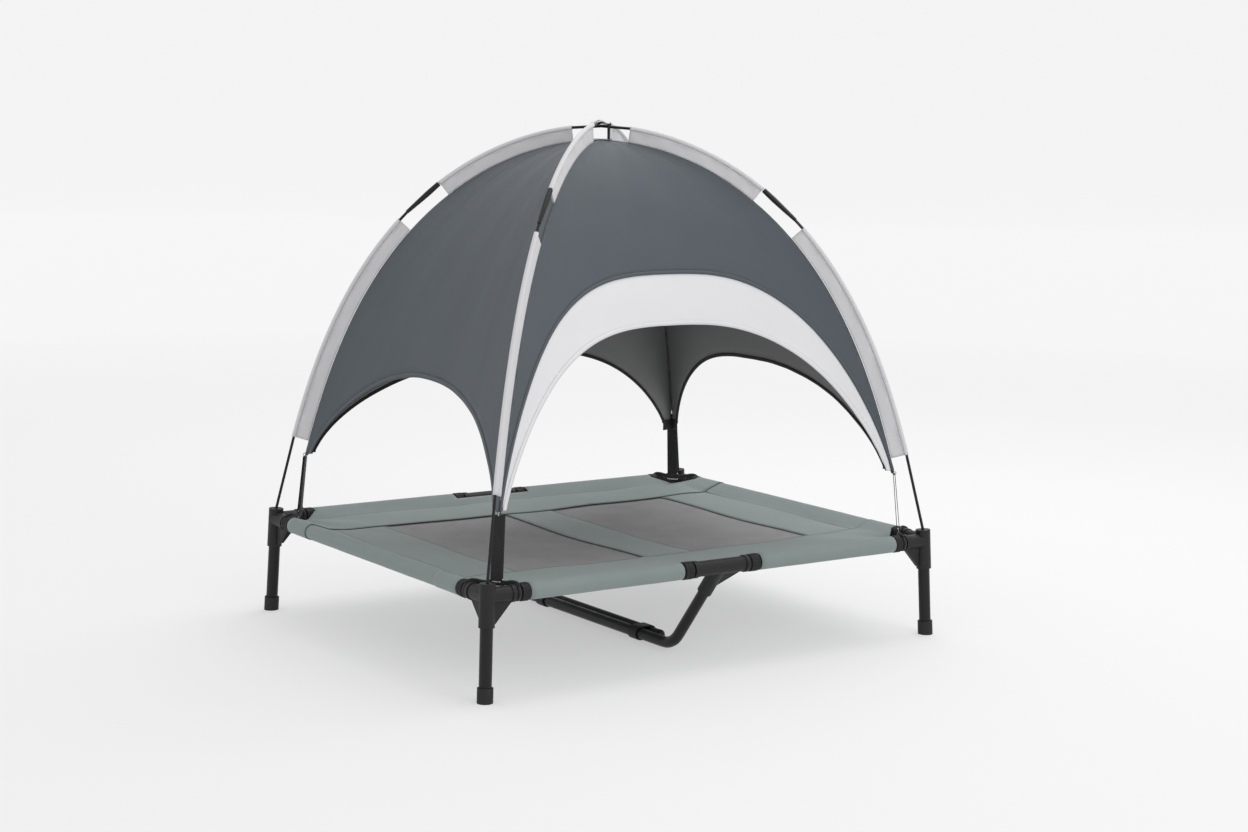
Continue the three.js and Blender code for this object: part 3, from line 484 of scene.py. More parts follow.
def smooth_path(points, steps):
    """Catmull-Rom curve through points."""
    points = np.asarray(points, float)
    n = len(points)
    out = []
    for i in range(n - 1):
        p = [points[min(max(i + k, 0), n - 1)] for k in (-1, 0, 1, 2)]
        for t in np.arange(steps) / steps:
            out.append(0.5 * (
                2 * p[1] + (p[2] - p[0]) * t + (2 * p[0] - 5 * p[1] + 4 * p[2] - p[3]) * t ** 2
                + (3 * p[1] - p[0] - 3 * p[2] + p[3]) * t ** 3
            ))
    out.append(points[-1])
    return np.array(out)


# ---- canopy cloth
# Outward direction, depth of the panel's bow and the height over which it grows.
SIDES = {
    "front": ((0, -1), 0.054, 0.306),
    "right": ((1, 0), 0.025, 0.402),
    "back": ((0, 1), 0.054, 0.306),
    "left": ((-1, 0), 0.025, 0.402),
}
# Height of the top, half span as a share of the panel, and two exponents of the curve.
ARCHES = {
    "band": (0.637, 0.987, 2.96, 0.86),
    "doorway": (0.5526, 0.964, 2.82, 0.88),
    "short": (0.455, 0.932, 2.58, 0.757),
    "back": (0.458, 0.930, 2.3, 0.84),
}
HEMMED = (("back", "back"), ("left", "short"), ("right", "short"))
RIDGE_GAP = 0.0007
CLOTH_THICK = 0.0006


def half_span(name, f):
    half = LENGTH / 2 if SIDES[name][0][0] == 0 else WIDTH / 2
    return half * seam_at(f)[0] / DIAGONAL


def canopy_point(name, share, f, push=0.0):
    """Point of a panel at a share -1..1 from ridge to ridge and a fraction 0..1 down the ridge."""
    (ox, oy), depth, span = SIDES[name]
    share, f = np.broadcast_arrays(np.asarray(share, float), np.asarray(f, float))
    r, z, angle = seam_at(f)
    scale = r / DIAGONAL
    half_along, half_out = (LENGTH / 2, WIDTH / 2) if ox == 0 else (WIDTH / 2, LENGTH / 2)
    bow = depth * np.minimum(1, (SEAM_TOP - z) / span) ** 0.75 * (1 - share ** 2)
    nx, nz = np.sin(angle), np.cos(angle) * half_out / DIAGONAL
    size = np.hypot(nx, nz)
    ease = 1 - np.abs(share) ** 8
    slack = 0.0007 * ease * np.sin(9 * share + 31 * z + ox) * np.sin(41 * z - 5 * share + oy)
    slack += 0.0003 * ease * np.sin(37 * share + 60 * z) * np.sin(83 * z + 2.0)
    out = half_out * scale - bow + (push + slack) * nx / size
    z = z + (push + slack) * nz / size
    along = share * np.maximum(half_along * scale - RIDGE_GAP, 0)
    return np.stack([ox * out - oy * along, oy * out + ox * along, z], axis=-1)


def arch_edge(name, arch, position, raise_by=0.0, widen=0.0):
    """Lower edge of a panel: share and fraction at arch positions -1..1 of the tail's half span."""
    peak, end, power, fullness = ARCHES[arch]
    end = end + widen
    position = np.asarray(position, float)
    reach = np.minimum(np.abs(position) / end, 1)
    if name == "left":
        power = np.where(position < 0, LEFT_SLACK, 1.0) * power
    full = (1 - reach ** power) ** fullness
    drop = TAIL_DROP * np.clip((np.abs(position) - end) / (1 - end), -0.3, 1)
    f = seam_fraction(TAIL_Z - drop * (full < 0.05) + (peak + raise_by - TAIL_Z) * full)
    foot = half_span(name, seam_fraction(TAIL_Z))
    return np.clip(skewed(name, position) * foot / half_span(name, f), -1, 1), f


def skewed(name, position):
    """The left and back doorways are cut nearer to the corner they share than to their other corners."""
    if name == "left":
        return position - LEFT_SKEW * (1 - position ** 2)
    if name == "back":
        return position + BACK_SKEW * np.maximum(position, 0) ** 2 * (1 - position ** 2)
    return position


def spread(count):
    """Positions -1..1 that crowd towards both ends."""
    c = np.linspace(-1, 1, count)
    return np.sign(c) * (1 - (1 - np.abs(c)) ** 1.7)


TOP_F = float(np.interp(0.0016, SEAM_R, FRACTIONS))


def canopy_panel(name, arch):
    end = ARCHES[arch][1]
    inner = spread(61) * end
    tail = np.linspace(end, 1, 5)[1:]
    position = np.concatenate([-tail[::-1], inner, tail])
    share, low = arch_edge(name, arch, position)
    rise = np.linspace(0, 1, 45)[:, None] ** 0.9
    f = low[None, :] + (TOP_F - low[None, :]) * rise
    points = canopy_point(name, share[None, :], f)
    # Outside faces get the canopy cloth; inside faces get its lighter copy with painted light.
    made = grid_object(f"canopy_cloth_{name}", points, [CANOPY, CANOPY_INSIDE_LIT])
    return thicken(made, CLOTH_THICK, -1.0, inside=1)


def arch_ribbon(label, name, arch, width, push, material, thickness=0.0008):
    """Tape that follows an arch along one face of the cloth."""
    count = 90
    foot = half_span(name, seam_fraction(TAIL_Z))
    rows = []
    for row in np.linspace(0, 1, 3):
        end = ARCHES[arch][1]
        widen = width * row / foot
        position = spread(count) * (end + widen)
        share, f = arch_edge(name, arch, position, width * row, widen)
        rows.append(canopy_point(name, share, f, push))
    made = thicken(grid_object(label, np.array(rows), [material]), thickness, 0.0)
    return made


def canopy():
    out = []
    for name, arch in (("front", "band"), *HEMMED):
        made = canopy_panel(name, arch)
        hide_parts(f"canopy_{name}")
        out.append(made)
    for name, arch in HEMMED:
        out.append(arch_ribbon(f"arch_binding_{name}", name, arch, 0.0065, -0.0013, BINDING))
        hem = arch_ribbon(f"arch_hem_{name}", name, arch, 0.008, 0.0004, CANOPY, 0.0006)
        out.append(hem)
    return out


def doorway_band():
    """Pale band sewn under the front panel's lower edge, with a narrow folded hem."""
    position = spread(71)
    high_share, high = arch_edge("front", "band", position * ARCHES["band"][1])
    low_share, low = arch_edge("front", "doorway", position * ARCHES["doorway"][1])
    v = np.linspace(0, 1, 13)[:, None]
    share = low_share + (high_share - low_share) * v
    f = low + (high - 0.006 - low) * v
    tuck = -0.0011 * np.clip((v - 0.85) / 0.1, 0, 1)
    pucker = 0.0007 * np.sin(position * 700) * (np.abs(position) > 0.9) * (1 - v) ** 2
    points = canopy_point("front", share, f, tuck + pucker)
    made = grid_object("doorway_band_cloth", points, [PALE])
    thicken(made, CLOTH_THICK, -1.0)
    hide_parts("doorway_band")
    hem = arch_ribbon("doorway_hem", "front", "doorway", 0.008, 0.0005, PALE, 0.0007)
    cover = arch_ribbon("band_seam", "front", "band", 0.006, 0.0005, CANOPY, 0.0007)
    return [made, hem, cover]


# ---- fins
# Half angle of the gap through which the fin's two layers leave the pole.
FIN_MOUTH = math.radians(14)
# Length of a lower fin and the distance of its stitch row from the pole's axis.
FIN_LENGTH, STITCH_ROW = 0.45, 0.0068


def pole_frame(corner, f):
    """Points on the pole's axis, directions towards the tent's inside, and the lift at the crossing."""
    outward = corner_directions(corner)[0]
    r, z, angle = (value[:, None] for value in pole_at(f))
    raised = LIFTS[corner] * (z - POST_TOP) / POLE_RISE
    return r * outward + (z + raised) * UP, -np.sin(angle) * outward - np.cos(angle) * UP, raised[:, 0]


def fin_cloth(corner, label, low, high):
    """Fabric folded round the pole and sewn to itself down to the ridge seam."""
    tangent = corner_directions(corner)[1]
    rows = 72
    origin, inward, raised = pole_frame(corner, np.linspace(low, high, rows))
    tunnel = POLE_R + 0.0011
    depth = np.linspace(1, 0, 8)
    section = [(d, 0.0, 1.0) for d in depth]
    section += [(0.0, t, 0.0) for t in np.linspace(FIN_MOUTH, 2 * math.pi - FIN_MOUTH, 19)]
    section += [(d, 0.0, -1.0) for d in depth[::-1]]
    along = np.linspace(0, 1, rows)
    ends = np.exp(-along / 0.05) + np.exp(-(1 - along) / 0.05)
    sway = 0.0007 * np.sin(23 * along + 3 * np.sign(LIFTS[corner]))
    sway = sway + 0.0006 * np.sin(61 * along) * (0.4 + ends)
    points = np.zeros((rows, len(section), 3))
    cloth = np.zeros_like(points)
    for j, (d, t, hand) in enumerate(section):
        if hand:
            near = tunnel * math.cos(FIN_MOUTH)
            far = FIN_WIDTH + 0.0006 + raised
            x = near + (far - near) * d
            y = hand * (0.00055 + 0.0003 * (1 - d) ** 2) + sway * np.sin(math.pi * d)
        else:
            x = np.full(rows, tunnel * math.cos(t))
            y = np.full(rows, tunnel * math.sin(t))
        points[:, j] = origin + x[:, None] * inward + y[:, None] * tangent
        cloth[:, j, 0] = d * FIN_WIDTH + t * tunnel
        cloth[:, j, 1] = along * FIN_LENGTH
    made = grid_object(label, points, [FIN], cloth)
    thicken(made, 0.0004, 1.0)
    made.modifiers["thickness"].use_even_offset = True
    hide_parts(label.replace("cloth_", ""))
    return made


def fin_stitches(corner, shells, low, high):
    """Row of stitches that closes the tunnel, on both faces of the fin."""
    tangent = corner_directions(corner)[1]
    count = int(POLE_LENGTH * abs(low - high) / 0.0045)
    for origin, inward in zip(*pole_frame(corner, np.linspace(low, high, count + 2)[1:-1])[:2]):
        ahead = np.cross(tangent, inward)
        centre = origin + inward * STITCH_ROW
        for hand in (1, -1):
            shells.box(centre + tangent * hand * 0.00125, ahead, inward, (0.0028, 0.0006, 0.0005))


def fins():
    out = []
    low = (float(seam_fraction(0.312)), pole_fraction(0.354))
    high = (pole_fraction(0.283), pole_fraction(0.051))
    stitches = Shells()
    for corner in CORNERS:
        out.append(fin_cloth(corner, f"fin_cloth_lower_{corner}", *low))
        out.append(fin_cloth(corner, f"fin_cloth_upper_{corner}", *high))
        fin_stitches(corner, stitches, *low)
        fin_stitches(corner, stitches, *high)
    made = stitches.build("fin_stitching", PALE_THREAD)
    return out, made


# ---- bed cloth
# Distance from the rail's axis to the seam that closes the sleeve, and the sleeve's radius.
SLEEVE_TIP, SLEEVE_R = 0.038, 0.0123
TIP_X, TIP_Y = RAIL_X - SLEEVE_TIP, RAIL_Y - SLEEVE_TIP
SLEEVE_X, SLEEVE_Y = RAIL_X - 0.073, RAIL_Y - 0.073
TANGENT = math.acos(SLEEVE_R / SLEEVE_TIP)
STRAIGHT = math.sqrt(SLEEVE_TIP ** 2 - SLEEVE_R ** 2)
SLEEVE_LENGTH = 2 * STRAIGHT + SLEEVE_R * (2 * math.pi - 2 * TANGENT)
WINDOW_IN, WINDOW_OUT, WINDOW_Y = 0.055, 0.300, 0.225
# Half length of the cut-out for the centre tee, and the far ends of the strips under the long ones.
TEE_NOTCH, MIDDLE_END, SIDE_END = 0.079, 0.234, 0.237
# Rows of cells on the sheet's corner square and on the sleeve's slope.
CELLS = 5
LONG_LIFT, STRIP_THICK, EDGE_DIP = 0.0007, 0.0011, 0.0007


def sleeve_profile(s, lift):
    """(inward offset, height) from the rail's axis at a length s past the sleeve's tip."""
    arc = SLEEVE_R * (2 * math.pi - 2 * TANGENT)
    first = np.clip(s / STRAIGHT, 0, 1)
    turn = TANGENT + np.clip(s - STRAIGHT, 0, arc) / SLEEVE_R
    last = np.clip((s - STRAIGHT - arc) / STRAIGHT, 0, 1)
    touch = np.array([SLEEVE_R * math.cos(TANGENT), SLEEVE_R * math.sin(TANGENT)])
    u = np.where(s < STRAIGHT, SLEEVE_TIP + (touch[0] - SLEEVE_TIP) * first, SLEEVE_R * np.cos(turn))
    w = np.where(s < STRAIGHT, touch[1] * first, SLEEVE_R * np.sin(turn))
    under = s > STRAIGHT + arc
    u = np.where(under, touch[0] + (SLEEVE_TIP - touch[0]) * last, u)
    w = np.where(under, -touch[1] * (1 - last), w)
    normal = np.where(under, 2 * math.pi - TANGENT, turn)
    return u + lift * np.cos(normal), w + lift * np.sin(normal) - 0.001 * (1 - first) - 0.001 * last


def sheet_height(x, y):
    return RAIL_Z - 0.001 - 0.009 * np.maximum(0, 1 - (x / 0.415) ** 2) * np.maximum(0, 1 - (y / 0.339) ** 2)


def bed_points(a, b, lift):
    """Cloth coordinates to points: flat between the sleeve tips, wrapped round the rails beyond."""
    sa, sb = np.abs(a) - TIP_X, np.abs(b) - TIP_Y
    x, y = np.clip(a, -TIP_X, TIP_X), np.clip(b, -TIP_Y, TIP_Y)
    z = sheet_height(x, y) + lift
    corner = np.hypot(RAIL_X - np.abs(x), RAIL_Y - np.abs(y))
    bearing = np.arctan2(RAIL_Y - np.abs(y), RAIL_X - np.abs(x))
    pull = np.exp(-((corner - 0.06) / 0.09)) * np.clip((corner - 0.045) / 0.03, 0, 1)
    z = z + 0.0030 * pull * np.sin(11 * bearing + 2.2 * np.sign(x) + np.sign(y))
    z = z + 0.0011 * np.sin(27 * x + 4 * y) * np.sin(19 * y - 7 * x + 1)
    if lift < LONG_LIFT:
        dip = EDGE_DIP * np.clip((np.abs(b) - WINDOW_Y + 0.014) / 0.012, 0, 1)
        z = z - dip
        lift = lift - dip
    out = [x, y]
    for axis, past, along, beside, rail in ((0, sa, a, b, RAIL_X), (1, sb, b, a, RAIL_Y)):
        u, w = sleeve_profile(np.maximum(past, 0), lift)
        crease = 0.0005 * np.sin(60 * beside) * np.sin(23 * beside + 2 - axis) * np.clip(past / 0.03, 0, 1)
        out[axis] = np.where(past > 0, np.sign(along) * (rail - u + crease), out[axis])
        z = np.where(past > 0, RAIL_Z + w, z)
    return np.stack([*out, z], axis=-1)


def samples(keys, spacing):
    out = [keys[0]]
    for low, high in zip(keys, keys[1:]):
        n = max(1, int(round((high - low) / spacing)))
        out += [low + (high - low) * i / n for i in range(1, n + 1)]
    return out


def axis_samples(keys, sleeve_from, tip):
    flat = samples([k for k in keys if k <= sleeve_from], 0.012)
    square = [sleeve_from + (tip - sleeve_from) * i / CELLS for i in range(1, CELLS + 1)]
    bend = [STRAIGHT + (SLEEVE_LENGTH - 2 * STRAIGHT) * i / 13 for i in range(14)]
    slope = [STRAIGHT * i / CELLS for i in range(1, CELLS)]
    back = [SLEEVE_LENGTH - STRAIGHT + v for v in slope]
    wrap = [tip + s for s in slope + bend + back + [SLEEVE_LENGTH]]
    half = flat + square + wrap
    return np.array([-v for v in half[:0:-1]] + half)


FAR_CORNER = {(True, True): 2, (False, True): 3, (False, False): 0, (True, False): 1}


def corner_cell(place, start, tip):
    """Index of a cell: 0 to 4 on the sheet from the sleeve's end to its tip, 5 to 9 on the slope."""
    if place < tip:
        return int((place - start) / (tip - start) * CELLS)
    if place - tip < STRAIGHT:
        return CELLS + int((place - tip) / STRAIGHT * CELLS)
    return 10 * CELLS


def bed_strip(name, inside, lift):
    """Piece of the bed cover made of the cells whose middle passes inside(|a|, |b|, a, b)."""
    a = axis_samples([0, WINDOW_IN - 0.004, TEE_NOTCH, 0.19, WINDOW_OUT, SLEEVE_X], SLEEVE_X, TIP_X)
    b = axis_samples([0, WINDOW_Y, MIDDLE_END, SLEEVE_Y], SLEEVE_Y, TIP_Y)
    aa, bb = np.meshgrid(a, b)
    points = bed_points(aa, bb, lift)
    cloth = np.stack([aa, bb, 0 * aa], axis=-1)
    faces = []
    for quad in map(list, grid_faces(len(b), len(a))):
        i, j = divmod(quad[0], len(a))
        ma, mb = (a[j] + a[j + 1]) / 2, (b[i] + b[i + 1]) / 2
        pa, pb = abs(ma), abs(mb)
        if not inside(pa, pb, ma, mb):
            continue
        if pa > SLEEVE_X and pb > SLEEVE_Y:
            across = corner_cell(pa, SLEEVE_X, TIP_X)
            down = corner_cell(pb, SLEEVE_Y, TIP_Y)
            flap = max(across, down) >= CELLS
            total = across + down - CELLS * flap
            limit = CELLS - 2 if flap else 2 * CELLS - 2
            if total > limit:
                continue
            if total == limit:
                quad.pop(FAR_CORNER[ma > 0, mb > 0])
        faces.append(quad)
    made = mesh_object(name, points, faces, [OXFORD, OXFORD_DARK_RIM], cloth)
    # rim=1 gives the strips' rims the dark rim colour.
    return thicken(made, STRIP_THICK, 1.0, rim=1)


def bed():
    def long_strip(pa, pb):
        return pb > WINDOW_Y and (pa > TEE_NOTCH or pb < TIP_Y + 0.6 * STRAIGHT)

    def short_strip(pa, pb):
        return pa > WINDOW_OUT and pb < SIDE_END

    rules = {
        "front": (lambda pa, pb, a, b: b < 0 and long_strip(pa, pb), LONG_LIFT),
        "back": (lambda pa, pb, a, b: b > 0 and long_strip(pa, pb), LONG_LIFT),
        "left": (lambda pa, pb, a, b: a < 0 and short_strip(pa, pb), 0.0),
        "right": (lambda pa, pb, a, b: a > 0 and short_strip(pa, pb), 0.0),
        "middle": (lambda pa, pb, a, b: pa < WINDOW_IN and pb < MIDDLE_END, 0.0),
    }
    out = {name: bed_strip(f"bed_strip_{name}", *rule) for name, rule in rules.items()}
    for made in out.values():
        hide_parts("bed_cover")
    nets = []
    for name, hand in (("left", -1), ("right", 1)):
        x = hand * np.linspace(WINDOW_IN - 0.010, WINDOW_OUT + 0.010, 24)
        y = np.linspace(-WINDOW_Y - 0.012, WINDOW_Y + 0.012, 40)
        xx, yy = np.meshgrid(x, y)
        points = bed_points(xx, yy, -0.0008)
        cloth = np.stack([xx, yy, 0 * xx], axis=-1)
        made = grid_object(f"mesh_window_{name}", points, [NET], cloth)
        if hand < 0:
            made.data.flip_normals()
        thicken(made, 0.0007, 0.0)
        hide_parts(f"mesh_panel_{name}")
        nets.append(made)
    return out, nets


def bed_stitching():
    """Stitch rows round the windows and along the sleeves."""
    shells = Shells()

    def row(p, q, lift):
        p, q = np.array(p), np.array(q)
        count = int(np.linalg.norm(q - p) / 0.0042)
        t = (np.arange(count) + 0.5) / count
        a, b = p[0] + (q[0] - p[0]) * t, p[1] + (q[1] - p[1]) * t
        step = (q - p) / np.linalg.norm(q - p) * 0.001
        for one, two in zip(bed_points(a, b, lift), bed_points(a + step[0], b + step[1], lift)):
            along = (two - one) / np.linalg.norm(two - one)
            shells.box(one, along, np.cross(UP, along), (0.0027, 0.0006, 0.0006))

    for hand in (-1, 1):
        for y, reach in ((WINDOW_Y + 0.005, TIP_X + 0.04), (TIP_Y - 0.002, SLEEVE_X)):
            row((-reach, hand * y), (reach, hand * y), 0.0019)
        for x in (WINDOW_OUT + 0.005, WINDOW_IN - 0.005, TIP_X - 0.002):
            row((hand * x, -WINDOW_Y + 0.002), (hand * x, WINDOW_Y - 0.002), 0.0012)
    return shells.build("bed_stitching", THREAD)


# ---- corner trims
def hub(corner):
    x, y = CORNERS[corner]
    return np.array([x * RAIL_X, y * RAIL_Y, RAIL_Z]), np.array([-x, 0.0, 0.0]), np.array([0.0, -y, 0.0])


def hook_centre(corner):
    """Place of the strap's hook, on the diagonal inward of the post."""
    return hub(corner)[0] - corner_directions(corner)[0] * HOOK_INSET


def corner_band(corner):
    """Elastic band across the connector, looped round the ends of both arms."""
    centre, arm_x, arm_y = hub(corner)

    def place(u, v, w):
        return centre + arm_x * u + arm_y * v + UP * w

    shells = Shells()
    lap = [(0.0116, -0.0031), (0.0135, -0.0029), (0.0139, 0.0), (0.0135, 0.0029), (0.0116, 0.0031)]
    for arm in (arm_x, arm_y):
        shells.turned(centre + arm * 0.0521, arm, lap, 40, lambda i, t: 0.00015 * np.sin(9 * t + i))
    route = [
        (0.0528, -0.0080, 0.0112), (0.0528, 0.0, 0.0146), (0.0490, 0.0090, 0.0148),
        (0.0430, 0.0178, 0.0126), (0.0385, 0.0240, 0.0112), (0.0293, 0.0340, 0.0112),
        (0.0170, 0.0440, 0.0126), (0.0075, 0.0505, 0.0148), (0.0, 0.0528, 0.0146),
        (-0.0080, 0.0528, 0.0112),
    ]
    path = smooth_path([place(*p) for p in route], 7)
    ahead = np.gradient(path, axis=0)
    shells.sweep(path, np.cross(ahead, UP) - 0.9 * UP, 0.0034, 0.0017, 12, square=0.7)
    made = shells.build(f"elastic_band_{corner}", STRAP)
    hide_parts(f"corner_band_{corner}")
    return made


BAR_Z = RAIL_Z + 0.0174
RING_Z = TAIL_Z - 0.0043
HOOK_INSET = 0.044
STRAP_HALF = 0.0100


def strap(corner):
    """Webbing in two layers: folded over the ring's lower wire and closed under the hook's bar."""
    outward, tangent = corner_directions(corner)
    foot = hook_centre(corner)
    foot[2] = BAR_Z
    head = outward * TAIL_R
    head[2] = RING_Z - 0.0030
    rise = (head - foot) / np.linalg.norm(head - foot)
    out = np.cross(tangent, rise)
    lower, upper = 0.0023, 0.0014
    climb = np.linspace(0, 1, 16)[1:-1]

    def layer(t, hand):
        return head - (head - foot) * (1 - t) + out * hand * (lower + (upper - lower) * t ** 0.6)

    path = arc(foot, out, rise, lower, np.linspace(math.pi, 2 * math.pi, 11))
    path += [layer(t, 1) for t in climb]
    path += arc(head, out, rise, upper, np.linspace(0, math.pi, 9))
    path += [layer(t, -1) for t in climb[::-1]]
    shells = Shells()
    shells.sweep(path, tangent, STRAP_HALF, 0.00055, 10, closed=True, square=0.35)
    made = shells.build(f"strap_webbing_{corner}", STRAP)
    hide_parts(f"tie_strap_{corner}")
    return made


def strap_hook(corner):
    """Plated flat hook: a bar through the strap's lower fold, a face below it and a lip under the band."""
    outward, tangent = corner_directions(corner)
    centre = hook_centre(corner)
    low, high, half, bend = RAIL_Z + 0.0066, BAR_Z + 0.0002, 0.0112, 0.0026
    points = []
    for k, (hand, z) in enumerate(((1, high - bend), (-1, high - bend), (-1, low + bend), (1, low + bend))):
        turns = np.linspace(math.pi / 2 * k, math.pi / 2 * (k + 1), 5)
        middle = np.array([centre[0], centre[1], z]) + tangent * (hand * (half - bend))
        points += arc(middle, tangent, UP, bend, turns)
    shells = Shells()
    shells.sweep(points, outward, 0.0012, 0.0012, 10, closed=True)
    face = centre + outward * 0.0003
    shells.box([face[0], face[1], BAR_Z - 0.0034], tangent, UP, (0.0158, 0.0036, 0.0017))
    return shells.build(f"strap_link_{corner}", METAL)


def hook_sleeves(corner):
    """The band's sewn ends, folded round the sides of the hook."""
    tangent = corner_directions(corner)[1]
    centre = hook_centre(corner)
    shells = Shells()
    for hand in (-1, 1):
        post = centre + tangent * (hand * 0.0108)
        path = [[post[0], post[1], z] for z in np.linspace(RAIL_Z + 0.0080, BAR_Z - 0.0004, 7)]
        shells.sweep(path, tangent, 0.0021, 0.0021, 10)
    return shells.build(f"hook_sleeve_{corner}", STRAP)


def ring_tab(corner):
    """Loop of tape that holds the wire ring in the tail of the canopy, on the inside."""
    outward, tangent = corner_directions(corner)
    base = outward * (TAIL_R - 0.0032)
    turns, heights = np.linspace(math.pi, 2 * math.pi, 9), np.linspace(RING_Z + 0.003, RING_Z + 0.020, 6)
    path = arc(base + UP * (RING_Z + 0.0012), tangent, UP, 0.0014, turns)
    path += [base + tangent * 0.0008 + UP * z for z in heights]
    path += [base - tangent * 0.0008 + UP * z for z in heights[::-1]]
    lean = np.array([-0.22 * (p[2] - RING_Z) for p in path])
    path = np.array(path) + outward * lean[:, None]
    shells = Shells()
    shells.sweep(path, outward, 0.0024, 0.0005, 8, closed=True, square=0.4)
    return shells.build(f"ring_tab_{corner}", STRAP)


def tail_bindings():
    """Short tapes across the bottom of each tail, on the inside of the cloth."""
    shells = Shells()

    def tape(name, arch, hand, stop, height, push, half_width, half_thick):
        share = skewed(name, np.linspace(ARCHES[arch][1], stop, 8) * hand)
        f = np.full(8, float(seam_fraction(TAIL_Z + height)))
        shells.sweep(canopy_point(name, share, f, push), UP, half_width, half_thick, 8, square=0.4)

    for name, arch in (("front", "doorway"), *HEMMED):
        for hand in (-1, 1):
            tape(name, arch, hand, 0.997, 0.0034, -0.0016, 0.0033, 0.0005)
    for name, arch, hand in (("back", "back", -1), ("right", "short", 1)):
        tape(name, arch, hand, 0.999, -0.0060, -0.0022, 0.0078, 0.0006)
    return shells.build("tail_binding", BINDING)


def collars():
    """Ribbed stop collars at the ends of the rails."""
    shells = Shells()

    def ring(origin, axis, length):
        profile = [(0.0118, 0.0)]
        for i in range(13):
            groove = 0.0009 if i in (4, 8) else 0.0
            edge = 0.0006 if i in (0, 12) else 0.0
            profile.append((0.0145 - groove - edge, length * i / 12))
        profile.append((0.0118, length))
        shells.turned(origin, axis, profile, 96, lambda i, t: 0.00045 * np.sin(24 * t) * (0 < i < 14))

    for corner in CORNERS:
        centre, arm_x, arm_y = hub(corner)
        for arm in (arm_x, arm_y):
            ring(centre + arm * 0.0575, arm, 0.0140)
    for hand in (-1, 1):
        for toward in (-1, 1):
            ring(np.array([toward * 0.0588, hand * RAIL_Y, RAIL_Z]), np.array([toward, 0.0, 0.0]), 0.0174)
    return shells.build("rail_collars", COLLAR)


# ---- crown
def crown():
    """Patch, tie and folded pale cap where the poles cross."""
    tie = Shells()
    outward, tangent = corner_directions("front_right")
    pole_z = CROWN_Z - POLE_CROSSING
    patch_z = SEAM_TOP + 0.0016
    start = outward * 0.0135
    loop = arc(start + UP * pole_z, tangent, UP, 0.0036, np.linspace(0, math.pi, 9))
    down = np.linspace(pole_z, patch_z, 8)[1:]
    apart = 0.0036 - 0.0026 * np.linspace(0, 1, 7)
    legs = [[start + tangent * hand * k + UP * z for k, z in zip(apart, down)] for hand in (1, -1)]
    tie.sweep(np.array(legs[0][::-1] + loop + legs[1]), outward, 0.0022, 0.0005, 8, square=0.4)
    patch = [outward * reach + UP * patch_z for reach in (-0.016, 0.0, 0.019)]
    tie.sweep(patch, tangent, 0.012, 0.0006, 12, square=0.5)
    made = tie.build("crown_tie_tape", BINDING)
    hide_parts("crown_tie")

    rows, columns, cap_r = 16, 48, 0.0168
    radius = np.linspace(0.0006, cap_r, rows)[:, None]
    t = np.linspace(0, 2 * math.pi, columns, endpoint=False)[None, :]
    share = radius / cap_r
    turned = t - math.atan2(outward[1], outward[0])
    away = np.cos(turned)
    drape = (2 * POLE_CROSSING - 0.0006) * away ** 2 + 0.0026 * np.sin(2 * turned) ** 2
    height = 0.0008 + 0.0014 * (1 - share ** 2) - drape * share ** 1.7
    height = height + 0.0004 * np.sin(5 * t + 1) * share ** 2
    wide = radius * (1 + 0.06 * np.sin(3 * t))
    upper_top = CROWN_Z + POLE_CROSSING + POLE_R + 0.0006
    points = np.stack([wide * np.cos(t), wide * np.sin(t), upper_top + height], axis=-1)
    cap = mesh_object("crown_cap_cloth", points, grid_faces(rows, columns, ring=True), [FIN])
    thicken(cap, 0.0008, -1.0)
    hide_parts("crown_cap")
    return made, cap


# ---- build everything
LOOKS = (
    (MOULDING, ("corner_connector", "centre_tee", "leg_clip")),
    (TUBE, ("leg_tube", "centre_leg", "front_rail", "back_rail", "left_rail", "right_rail")),
    (RUBBER, ("foot_cap",)), (ROD, ("pole_",)), (METAL, ("strap_ring",)),
)


def smooth_node(made):
    """Smooth shading on round faces and crisp edges between them."""
    if "custom_normal" in made.data.attributes:
        made.data.attributes.remove(made.data.attributes["custom_normal"])
    made.data.polygons.foreach_set("use_smooth", np.ones(len(made.data.polygons), bool))
    joined = made.modifiers.new("weld", "WELD")
    joined.merge_threshold = 0.00001
    crisp = made.modifiers.new("edges", "EDGE_SPLIT")
    crisp.split_angle = math.radians(33)


for node_name, node_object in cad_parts.items():
    for look_material, starts in LOOKS:
        if node_name.startswith(starts):
            node_object.data.materials.clear()
            node_object.data.materials.append(look_material)
            smooth_node(node_object)


SMALLEST_CUT = 0.3001


def cloth_sheet(made, flat, rests_on):
    """Works out the sheet's area, kept between SMALLEST_CUT of its flat size and its flat size."""
    area = sum(face.area for face in made.data.polygons)
    area = min(max(area, SMALLEST_CUT * flat[0] * flat[1]), flat[0] * flat[1])


for piece in canopy() + doorway_band():
    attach(piece, "canopy")
    if piece.name.startswith("canopy_cloth"):
        flat = (0.81, 0.66) if piece.name.endswith(("front", "back")) else (0.68, 0.70)
        cloth_sheet(piece, flat, ["fin_stitching"])
    if piece.name == "doorway_band_cloth":
        cloth_sheet(piece, (0.80, 0.36), ["canopy_cloth_front"])

fin_pieces, fin_rows = fins()
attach(fin_rows, "canopy")
for piece in fin_pieces:
    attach(piece, "canopy")
    lower = "lower" in piece.name
    corner_name = piece.name.split("er_", 1)[1]
    pole = f"pole_lower_{corner_name}" if lower else f"pole_upper_{'a' if LIFTS[corner_name] > 0 else 'b'}"
    cloth_sheet(piece, (0.0655, FIN_LENGTH if lower else 0.29), [pole])

